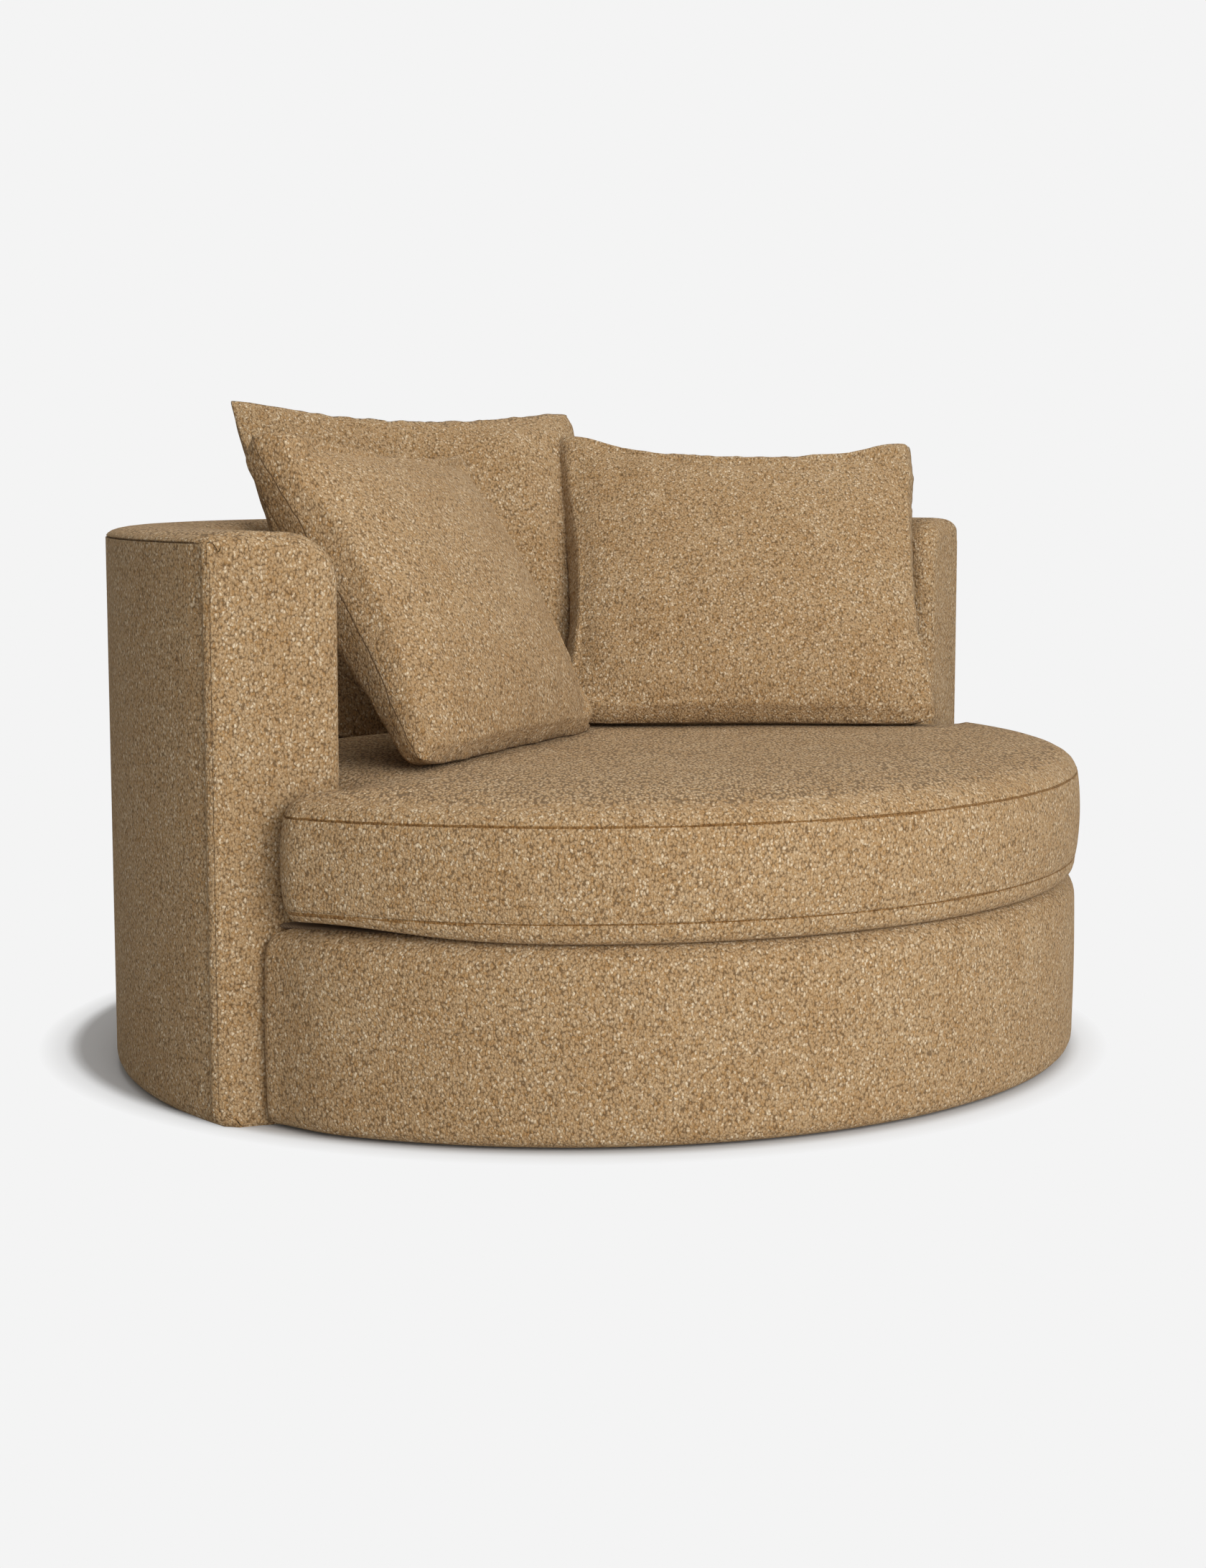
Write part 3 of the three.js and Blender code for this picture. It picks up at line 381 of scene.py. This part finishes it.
shell = bpy.data.objects.new("shell", mesh)
bpy.context.scene.collection.objects.link(shell)
edited(shell)
bpy.ops.mesh.spin(steps=ring_steps, angle=-math.pi, center=ring, axis=(0, 0, 1))
for side in (-1, 1):
    pick_edges(lambda c: abs(c.y - ring.y) < 0.0001 and c.x * side > 0)
    bpy.ops.mesh.extrude_region_move(TRANSFORM_OT_translate={"value": (0, -arm_reach, 0)})


def turned_over(depth, height):
    """The radius at which the front edge turns over onto an arm's front: small outside, full inside."""
    if height < hem + hem_band[0]:
        return fold_outside if depth < hem_band[1] else 0
    if depth < 0.0005:
        share = min(max((height - fold_start) / (seam - fold_start), 0), 1)
        return fold_outside + (fold_at_seam - fold_outside) * share**2
    if height < nose_top:
        return nose
    share = min(max((depth - 0.002) / (arm_depth / 2), 0), 1)
    return fold_at_seam + (nose - fold_at_seam) * share * share * (3 - 2 * share)


# Each arm is cut off along its front, and the cut is drawn out in steps that turn a quarter round onto it.
for point, normal, run in ((corner, ahead, along), (mirrored(corner), mirrored(ahead), mirrored(along))):
    bpy.ops.mesh.select_all(action="SELECT")
    bpy.ops.mesh.bisect(plane_co=point, plane_no=normal, clear_outer=True)
    pick_edges(lambda c: abs((c - point).dot(normal)) < 0.0002)
    mesh = bmesh.from_edit_mesh(shell.data)
    start = {}
    for step in range(fold_steps + 1):
        if step:
            bpy.ops.mesh.extrude_region_move(TRANSFORM_OT_translate={"value": (0, 0, 0)})
            mesh = bmesh.from_edit_mesh(shell.data)
        loop = [v for v in mesh.verts if v.select]
        if not step:
            laps = {v: [e.other_vert(v) for e in v.link_edges if e.other_vert(v).select] for v in loop}
            heart_of_end = sum((v.co for v in loop), Vector()) / len(loop)
            for v in loop:
                line = laps[v][1].co - laps[v][0].co
                inward = line.cross(normal).normalized()
                depth = (v.co - point).dot(run) * abs(run.x)
                on_top = inward if inward.dot(heart_of_end - v.co) > 0 else -inward
                start[tuple(round(c, 5) for c in v.co)] = (on_top, turned_over(abs(depth), v.co.z))
            origins = {tuple(v.co): v.co.copy() for v in loop}
        moved = {}
        turn = math.pi / 2 * step / fold_steps
        for v in loop:
            origin = origins[tuple(v.co)]
            on_top, radius = start[tuple(round(c, 5) for c in origin)]
            back = Vector((0, radius / math.cos(arm_turn), 0)) * (1 - math.sin(turn))
            v.co = origin + back + on_top * radius * (1 - math.cos(turn))
            moved[tuple(v.co)] = origin
        origins = moved
        bmesh.update_edit_mesh(shell.data)
    bpy.ops.mesh.edge_face_add()
bpy.ops.mesh.select_all(action="SELECT")
bpy.ops.mesh.remove_doubles(threshold=0.00005)
bpy.ops.mesh.normals_make_consistent(inside=False)
bpy.ops.mesh.select_all(action="SELECT")
bpy.ops.mesh.bisect(plane_co=(0, 0, seam), plane_no=(0, 0, 1))
bpy.ops.object.mode_set(mode="OBJECT")


def panel(source, name, keep, thickness=0.004, rim=0.0016):
    """One sewn panel: the faces of a form that pass a test, with the cloth's thickness and a turned rim."""
    made = source.copy()
    made.data = source.data.copy()
    made.name = name
    bpy.context.scene.collection.objects.link(made)
    edited(made)
    bpy.ops.mesh.select_mode(type="FACE")
    bpy.ops.mesh.select_all(action="DESELECT")
    mesh = bmesh.from_edit_mesh(made.data)
    for face in mesh.faces:
        face.select_set(not keep(face.calc_center_median(), face.normal))
    bmesh.update_edit_mesh(made.data)
    bpy.ops.mesh.delete(type="FACE")
    bpy.ops.object.mode_set(mode="OBJECT")
    made.data.materials.clear()
    made.data.materials.append(boucle)
    made.data.materials.append(seam_shade_cloth)
    body = made.modifiers.new("cloth", "SOLIDIFY")
    body.thickness = thickness
    body.offset = -1
    bpy.ops.object.modifier_apply(modifier="cloth")
    edge = made.modifiers.new("rim", "BEVEL")
    edge.width = rim
    edge.segments = 3
    edge.limit_method = "ANGLE"
    edge.angle_limit = math.radians(50)
    # The rim's faces take the darker copy of the boucle, painted shade in the seam.
    edge.material = 1
    bpy.ops.object.modifier_apply(modifier="rim")
    bpy.ops.object.shade_smooth_by_angle(angle=math.radians(40))
    return made


def outside(centre, normal):
    """Whether a face is in the outside panel: an arm's wall, its fold or the hem."""
    round_slack, arm_slack, hem_rise, turned_share = 0.003, 0.012, 0.017, 0.9
    flat = Vector((centre.x, centre.y - ring.y, 0))
    on_wall = flat.length > wall - round_slack if centre.y > ring.y else abs(centre.x) > wall - arm_slack
    facing = max(normal.dot(ahead), normal.dot(mirrored(ahead)))
    return centre.z < seam and (on_wall or centre.z < hem + hem_rise) and facing < turned_share


cover_outside = panel(shell, "cover_outside", outside)
cover_inside = panel(shell, "cover_inside_and_fronts", lambda c, n: not outside(c, n))
bpy.data.objects.remove(shell)
for piece in (cover_outside, cover_inside):
    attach(piece, "chair")
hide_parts("cover_outer_back")
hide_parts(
    "back_foam",
    "cover_inner_back",
    "arm_cover_left",
    "arm_cover_right",
    "arm_padding_left",
    "arm_padding_right",
)

# Base: the padded drum front below the seat, a band of the same cloth over foam and a curved ply kicker.
# It is rounded over at the top, rounded and tucked in beside the arm fronts, and turned under at the floor.
drum = 0.700
middle = Vector((0, 0.0625, 0))
front_steps = 150
tuck_turn = 0.08
base_tuck = 0.012
base_ear = 0.015
base_bulge = 0.0012
base_wall = (0.035, 0.173)
base_round = (0.038, 0.0385)
base_shoulder = 0.2085
base_gap = 0.0006
lap_gap = 0.030
ear_steps = 14


def arc(centre, radius, start, end, count):
    """Points on an arc from one angle to another, in radians, without its last point."""
    turns = [start + (end - start) * i / count for i in range(count)]
    return [Vector((centre.x + radius * math.cos(t), centre.y + radius * math.sin(t), 0)) for t in turns]


def front_plan(front, side, round_ear, tuck=0):
    """Half the plan of the round front, drawn in from the drum and ahead of the arm's face.
    It runs from the rounded corner at the left arm, where it can tuck in, to the middle of the front."""
    small = max(round_ear, 0.0015)
    start = corner - middle + ahead * (side + small)
    reach = drum - front - small - tuck
    slide = -start.dot(along) - math.sqrt(start.dot(along) ** 2 - start.length_squared + reach**2)
    ear = start + along * slide
    drum_turn = math.atan2(ear.y, ear.x) + 2 * math.pi
    tip = arc(ear + middle, small, math.atan2(-ahead.y, -ahead.x), drum_turn, ear_steps)
    rays = arc(Vector(), 1, drum_turn, 1.5 * math.pi, front_steps) + [Vector((0, -1, 0))]
    step = (1.5 * math.pi - drum_turn) / front_steps
    tucks = [tuck * math.exp(-((step * i / tuck_turn) ** 2)) for i in range(len(rays))]
    return tip + [middle + ray * (drum - front - fold) for ray, fold in zip(rays, tucks)]


def raised(plan, height):
    return [Vector((p.x, p.y, height)) for p in plan]


def skin(name, rows, closed):
    """A surface through rows of points that all have the same count."""
    count = len(rows[0])
    points = [p for row in rows for p in row]
    last = count if closed else count - 1
    faces = []
    for level in range(len(rows) - 1):
        for i in range(last):
            a, b = level * count + i, level * count + (i + 1) % count
            faces.append((a, b, b + count, a + count))
    mesh = bpy.data.meshes.new(name)
    mesh.from_pydata(points, [], faces)
    made = bpy.data.objects.new(name, mesh)
    bpy.context.scene.collection.objects.link(made)
    return made


# The section through the base: how far in from the drum, and how high.
turned_hem = [(0.036, 0), (0.020, 0), (0.014, 0.0004), (0.008, 0.0030)]
turned_hem += [(0.0035, 0.0075), (0.0008, 0.014), (0, 0.022)]
base_section = [(inset, hem + height) for inset, height in turned_hem]
base_section += [
    (-base_bulge * math.sin(math.pi * i / 8), base_wall[0] + base_wall[1] * i / 8) for i in range(9)
]
base_section += [
    (base_round[0] * (1 - math.cos(t)), base_shoulder + base_round[1] * math.sin(t))
    for t in (math.pi * i / 20 for i in range(1, 11))
]
base_section += [(0.050, 0.2474), (0.070, 0.2476), (0.110, 0.2478)]
base_rows = []
for inset, height in base_section:
    room = max(inset, 0)
    half = raised(front_plan(inset, base_gap + min(room, lap_gap), base_ear - room, base_tuck), height)
    base_rows.append(half + [mirrored(p) for p in reversed(half[:-1])])
base = skin("base", base_rows, closed=False)
edited(base)
bpy.ops.mesh.normals_make_consistent(inside=False)
mesh = bmesh.from_edit_mesh(base.data)
front_face = min(mesh.faces, key=lambda f: f.calc_center_median().y)
if front_face.normal.y > 0:
    bpy.ops.mesh.flip_normals()
bpy.ops.object.mode_set(mode="OBJECT")


cover_base = panel(base, "cover_base", lambda centre, normal: True)
bpy.data.objects.remove(base)
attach(cover_base, "chair")
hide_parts("cover_base_band", "base_padding")

# Deck: the sprung platform under the loose cushion. A brown lining cloth over a thin foam pad,
# sewn to the base band in front and tacked down along the arms and the back.
back_steps, turn_steps, flat_steps = 130, 16, 20
back_end = math.pi - 0.02
nose_middle = Vector((-(wall - arm_depth + nose), 0, 0))
nose_middle.y = corner.y - (arm_depth - nose) * math.tan(arm_turn) + nose / math.cos(arm_turn)


def seat_plan(front, side, round_ear):
    """The plan of the space for the seat, drawn in from the drum's front and from the arms and back.
    It runs from the middle of the back round the left arm to the middle of the front, and back again."""
    back = arc(ring, wall - arm_depth - side, math.pi / 2, back_end, back_steps)
    turned = arc(nose_middle, nose + side, 0, math.atan2(ahead.y, ahead.x), turn_steps)
    face_end = nose_middle + ahead * (nose + side)
    round_front = front_plan(front, side, round_ear)
    flat = [face_end.lerp(round_front[0], i / flat_steps) for i in range(flat_steps)]
    half = back + turned + flat + round_front
    return half + [mirrored(p) for p in reversed(half[1:-1])]


def loft(name, rings, low, high):
    """A closed form through rings of points, each cap drawn to a middle point."""
    made = skin(name, rings, closed=True)
    mesh = bmesh.new()
    mesh.from_mesh(made.data)
    mesh.verts.ensure_lookup_table()
    count = len(rings[0])
    for middle_point, first in ((low, 0), (high, len(mesh.verts) - count)):
        pole = mesh.verts.new(middle_point)
        mesh.verts.ensure_lookup_table()
        for i in range(count):
            mesh.faces.new((mesh.verts[first + i], mesh.verts[first + (i + 1) % count], pole))
    mesh.to_mesh(made.data)
    mesh.free()
    edited(made)
    bpy.ops.mesh.normals_make_consistent(inside=False)
    bpy.ops.object.mode_set(mode="OBJECT")
    bpy.ops.object.shade_smooth()
    return made


def shrunk(plan, share, heart):
    return [heart.lerp(p, share) for p in plan]


heart = Vector((0, -0.2, 0))
deck_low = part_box("deck_pad")[0][2]
deck_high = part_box("deck_cloth")[1][2]
deck_plan = seat_plan(front=0.036, side=0.003, round_ear=0.004)
deck_rings = [raised(shrunk(deck_plan, share, heart), deck_low) for share in (0.5, 0.99)]
deck_steps = [(1.0, 0.004), (0.998, 0.0015), (0.993, 0.0003)]
deck_steps += [(share, 0) for share in (0.98, 0.8, 0.6, 0.4, 0.2)]
deck_rings += [raised(shrunk(deck_plan, share, heart), deck_high - drop) for share, drop in deck_steps]
deck = loft("deck_lining", deck_rings, heart + Vector((0, 0, deck_low)), heart + Vector((0, 0, deck_high)))
duck, tree, shader = material("brown_lining_duck")
weave = woven(tree, 260.0, 0.6)
cotton = ramp(tree, weave, [(0.0, "#54422F"), (0.5, "#7D6750"), (1.0, "#927B60")])
dressed(tree, shader, cotton, 0.9, weave, 0.4, 0.0005)
deck.data.materials.append(duck)
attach(deck, "chair")
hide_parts("deck_cloth", "deck_pad")

# Seat cushion: a thick foam cushion wrapped in wadding, in a boxed cover. Its front follows the drum, its
# ears lie in front of the arms and its back follows the wall. Two seams join the boxing to the crowned top
# and to the underside.
gap = 0.012
cushion_ear = 0.036
boxing_bulge = 0.005
boxing_steps = 14
seams = (0.269, 0.382)
cushion_foot = 0.2486
crown_edge = 0.034
crown_start = 0.4086
crown_rise = 0.0139
crown_reach = 0.08
ear_tip = Vector((-0.655, -0.185, 0))
ear_rise = 0.014
ear_reach = 0.15
# The sections: how far in from the widest edge, and how high. Under the boxing, above it, and on it.
lower = [(cushion_ear, cushion_foot), (0.027, 0.2475), (0.019, 0.2447), (0.012, 0.2440)]
lower += [(0.0065, 0.2468), (0.003, 0.2525), (0.0010, 0.2590), (0.0004, 0.2650)]
upper = [(0.0010, 0.3842), (0.0030, 0.3890), (0.0065, 0.3945), (0.0125, 0.3998), (0.0215, 0.4047)]
upper += [(crown_edge, crown_start)]
boxing = []
for i in range(1, boxing_steps):
    share = i / boxing_steps
    bulge = -boxing_bulge * math.sin(math.pi * share) ** 0.7
    boxing.append((bulge, seams[0] + (seams[1] - seams[0]) * share))
sections = lower + [(0.0002, 0.2680), (0.0018, 0.2690), (0.0000, 0.2701), (-0.0006, 0.2715)] + boxing
sections += [(-0.0006, 0.3795), (0.0000, 0.3809), (0.0018, 0.3820), (0.0002, 0.3831)] + upper
edge = seat_plan(0, gap, cushion_ear)
rings = [raised(seat_plan(inset, gap + inset, cushion_ear - inset), height) for inset, height in sections]
deepest = seat_plan(cushion_ear, gap + cushion_ear, 0)
shares = (0.97, 0.93, 0.87, 0.79, 0.70, 0.60, 0.49, 0.38, 0.27, 0.16, 0.07)


def crown(point):
    """The top's height, which goes on rising inside its rounded edge."""
    room = min((point - p).length for p in edge[::3])
    return crown_start + crown_rise * (1 - math.exp(-max(room - crown_edge, 0) / crown_reach))


inner = [shrunk(deepest, share, heart) for share in shares]
under = [raised(plan, cushion_foot) for plan in reversed(inner)]
over = [[Vector((p.x, p.y, crown(p))) for p in plan] for plan in inner]
low, high = (heart + Vector((0, 0, height)) for height in (cushion_foot, crown(heart)))
cushion = loft("seat_cushion", under + rings + over, low, high)
# The underside rises at both ears, the faces are a little uneven, and the seams draw in and out.
for v in cushion.data.vertices:
    reach = (Vector((-abs(v.co.x), v.co.y, 0)) - ear_tip).length
    low_share = min(max((seams[0] + 0.004 - v.co.z) / 0.016, 0), 1)
    v.co.z += ear_rise * math.exp(-((reach / ear_reach) ** 2)) * low_share
    soft = Vector((v.co.x * 5, v.co.y * 5, v.co.z * 9))
    v.co.z += 0.0012 * noise.noise(soft) * (1 if v.co.z > 0.3 else 0.3)
    at_seam = max(0, 1 - min(abs(v.co.z - s) for s in seams) / 0.012)
    outwards = Vector((v.co.x, v.co.y - middle.y, 0)).normalized()
    v.co += outwards * at_seam * 0.0006 * noise.noise(Vector((v.co.x * 55, v.co.y * 55, 3)))
cushion.data.materials.append(boucle)
cushion.data.materials.append(light_seam_shade_cloth)
# The faces in the two seams take the slightly darker boucle: painted shade in the seam grooves.
for face in cushion.data.polygons:
    lowest = min(cushion.data.vertices[i].co.z for i in face.vertices)
    highest = max(cushion.data.vertices[i].co.z for i in face.vertices)
    face.material_index = int(any(s - 0.0016 < (lowest + highest) / 2 < s + 0.0016 for s in seams))
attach(cushion, "seat_cushion")
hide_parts("seat_cushion_cover", "seat_cushion_core")

# Loose pillows: three square knife-edge covers with a zip in the bottom seam, filled with feather and down.
# Each is two squares sewn round their edges. It starts full and a cloth simulation settles it, then its seams
# pucker and its corners are drawn to where the photograph shows them.
pillow_size = (0.528, 0.486, 0.165)
pillow_steps = (58, 54)
cut_share = 1.05
fullness = 0.34
ripple_height = 0.003
side_draw = 0.07
tip_draw = 0.014
settling_frames = 20
settling_cap = 0.016
lip = (0.972, 0.028)
flat_lip = 0.85
lip_reach = 0.004
bottom_lip = (0.975, 0.025)
bottom_lip_reach = 0.010
pucker_width = 0.12
stands = {
    "back_left_pillow": (Vector((-0.0260, 0.1748, 0.4208)), -7.8, 20.8),
    "front_left_pillow": (Vector((-0.2071, -0.0988, 0.4249)), 21.8, 32.1),
    "right_pillow": (Vector((0.2452, -0.1261, 0.4247)), -40.0, 33.1),
}
# How far the front is pressed flat and the top seam sags, as shares, and the pull on each corner in metres.
pressed = {"back_left_pillow": 0.75}
sag = {"back_left_pillow": 0.12, "front_left_pillow": 0.13, "right_pillow": 0.18}
pulled = {
    "back_left_pillow": {(-1, 1): (-0.036, 0.018, 0), (1, 1): (0.026, 0.008, 0), (1, -1): (0.015, 0, 0)},
    "front_left_pillow": {
        (-1, 1): (0, -0.004, 0.010),
        (1, 1): (0, -0.045, 0.010),
        (-1, -1): (0, -0.004, 0.002),
        (1, -1): (-0.010, 0, -0.002),
    },
    "right_pillow": {(-1, 1): (-0.024, 0.010, 0), (1, 1): (0.024, -0.008, 0), (-1, -1): (-0.018, 0, 0)},
}


def stance(foot, yaw, lean):
    """The matrix that stands a pillow, lying in the XY plane, on its bottom edge, turned and leaning back."""
    yaw, lean = math.radians(yaw), math.radians(lean)
    wide = Vector((math.cos(yaw), math.sin(yaw), 0))
    behind = Vector((-math.sin(yaw), math.cos(yaw), 0))
    up = math.cos(lean) * Vector((0, 0, 1)) + math.sin(lean) * behind
    front = wide.cross(up)
    middle_point = foot + middle + up * pillow_size[1] / 2
    turned = Matrix((wide, up, front)).transposed().to_4x4()
    return Matrix.Translation(middle_point) @ turned


def sewn_square(name, seed, lean):
    """Two squares sewn round their edges and filled. The simulated cloth has the lengths it was cut to."""
    fresh()
    bpy.ops.mesh.primitive_grid_add(x_subdivisions=pillow_steps[0], y_subdivisions=pillow_steps[1], size=2)
    made = bpy.context.object
    made.name = name
    bpy.ops.object.mode_set(mode="EDIT")
    bpy.ops.mesh.select_all(action="SELECT")
    bpy.ops.mesh.duplicate()
    bpy.ops.mesh.flip_normals()
    bpy.ops.object.mode_set(mode="OBJECT")
    wide, high, thick = (size / 2 for size in pillow_size)
    rim = made.data.attributes.new("rim", "FLOAT", "POINT")
    flat, filled = [], []
    half = len(made.data.vertices) // 2
    for i, v in enumerate(made.data.vertices):
        u, w = v.co.x, v.co.y
        face = 1 if i < half else -1
        rim.data[i].value = max(abs(u), abs(w))
        flat.append(Vector((u * wide * cut_share, w * high * cut_share, 0)))
        full = (max(1 - u * u, 0) * max(1 - w * w, 0)) ** fullness
        ripple = ripple_height * noise.noise(Vector((u * 7, w * 7, seed + face * 3))) * full**0.5
        tip = (u * u * w * w) ** 3
        x = u * (wide * (1 - side_draw * u * u * (1 - w * w)) - tip_draw * tip)
        y = w * (high * (1 - (sag[name] if w > 0 else 0.0) * w * w * (1 - u * u)) - tip_draw * tip)
        filled.append(Vector((x, y, face * (thick * full + ripple))))
    for v, place in zip(made.data.vertices, filled):
        v.co = place
    made.shape_key_add(name="filled")
    cut = made.shape_key_add(name="cut")
    for point, place in zip(cut.data, flat):
        point.co = place
    bpy.ops.object.mode_set(mode="EDIT")
    bpy.ops.mesh.select_all(action="SELECT")
    bpy.ops.mesh.remove_doubles(threshold=0.00001)
    bpy.ops.mesh.normals_make_consistent(inside=False)
    bpy.ops.object.mode_set(mode="OBJECT")
    start = [v.co.copy() for v in made.data.vertices]
    filling = made.modifiers.new("filling", "CLOTH")
    cloth = filling.settings
    cloth.rest_shape_key = made.data.shape_keys.key_blocks["cut"]
    cloth.effector_weights.gravity = 0
    cloth.use_pressure = True
    cloth.uniform_pressure_force = 3.0
    cloth.mass = 0.35
    cloth.tension_stiffness = 15
    cloth.compression_stiffness = 6
    cloth.shear_stiffness = 4
    cloth.bending_stiffness = 0.25
    cloth.quality = 5
    filling.point_cache.frame_end = settling_frames
    for moment in range(1, settling_frames + 1):
        bpy.context.scene.frame_set(moment)
    blown = made.evaluated_get(bpy.context.evaluated_depsgraph_get()).data
    settled = [v.co.copy() for v in blown.vertices]
    made.modifiers.remove(filling)
    bpy.context.scene.frame_set(1)
    made.shape_key_clear()
    moves = [b - a for a, b in zip(start, settled)]
    for v, from_place, move in zip(made.data.vertices, start, moves):
        v.co = from_place + move * min(1, settling_cap / max(move.length, 1e-9))
    rounder = made.modifiers.new("rounder", "SUBSURF")
    rounder.levels = rounder.render_levels = 1
    bpy.ops.object.modifier_apply(modifier="rounder")
    for v, edge_share in zip(made.data.vertices, made.data.attributes["rim"].data):
        at_lip = max(0, (edge_share.value - lip[0]) / lip[1])
        reach = Vector((v.co.x, v.co.y, 0)).normalized()
        turn = math.atan2(v.co.y, v.co.x)
        pucker = 0.0022 * noise.noise(Vector((turn * 9, seed, 0)))
        pucker += 0.0014 * noise.noise(Vector((turn * 23, seed, 4)))
        near = max(0, 1 - (1 - edge_share.value) / pucker_width)
        v.co.z = v.co.z * (1 - flat_lip * at_lip) + pucker * near * 1.6
        v.co += reach * (lip_reach * at_lip + pucker * near)
    ways = [[v.co[i] for v in made.data.vertices] for i in range(3)]
    spans = [max(way) - min(way) for way in ways]
    made.data.transform(Matrix.Diagonal([size / span for size, span in zip(pillow_size, spans)]).to_4x4())
    lay = Vector((0, -math.sin(math.radians(lean)), math.cos(math.radians(lean))))
    for v, edge_share in zip(made.data.vertices, made.data.attributes["rim"].data):
        u, w = v.co.x / wide, v.co.y / high
        if v.co.z > 0:
            v.co.z *= 1 - pressed.get(name, 0) * min(max((0.45 - u) / 0.5, 0), 1)
        for (side_u, side_w), offset in pulled[name].items():
            v.co += Vector(offset) * max(0, (1 + side_u * u) / 2) * max(0, (1 + side_w * w) / 2)
        if w < -0.9 and abs(u) < 0.99:
            wave = 0.6 + 0.8 * noise.noise(Vector((u * 6, seed, 8)))
            at_lip = max(0, (edge_share.value - bottom_lip[0]) / bottom_lip[1])
            v.co += lay * bottom_lip_reach * wave * at_lip
    bpy.ops.object.shade_smooth()
    return made


for order, (name, (foot, yaw, lean)) in enumerate(stands.items()):
    pillow = sewn_square(name, order * 20, lean)
    pillow.data.transform(stance(foot, yaw, lean))
    pillow.data.materials.append(boucle)
    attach(pillow, name)
    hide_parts(name + "_cover", name + "_insert")
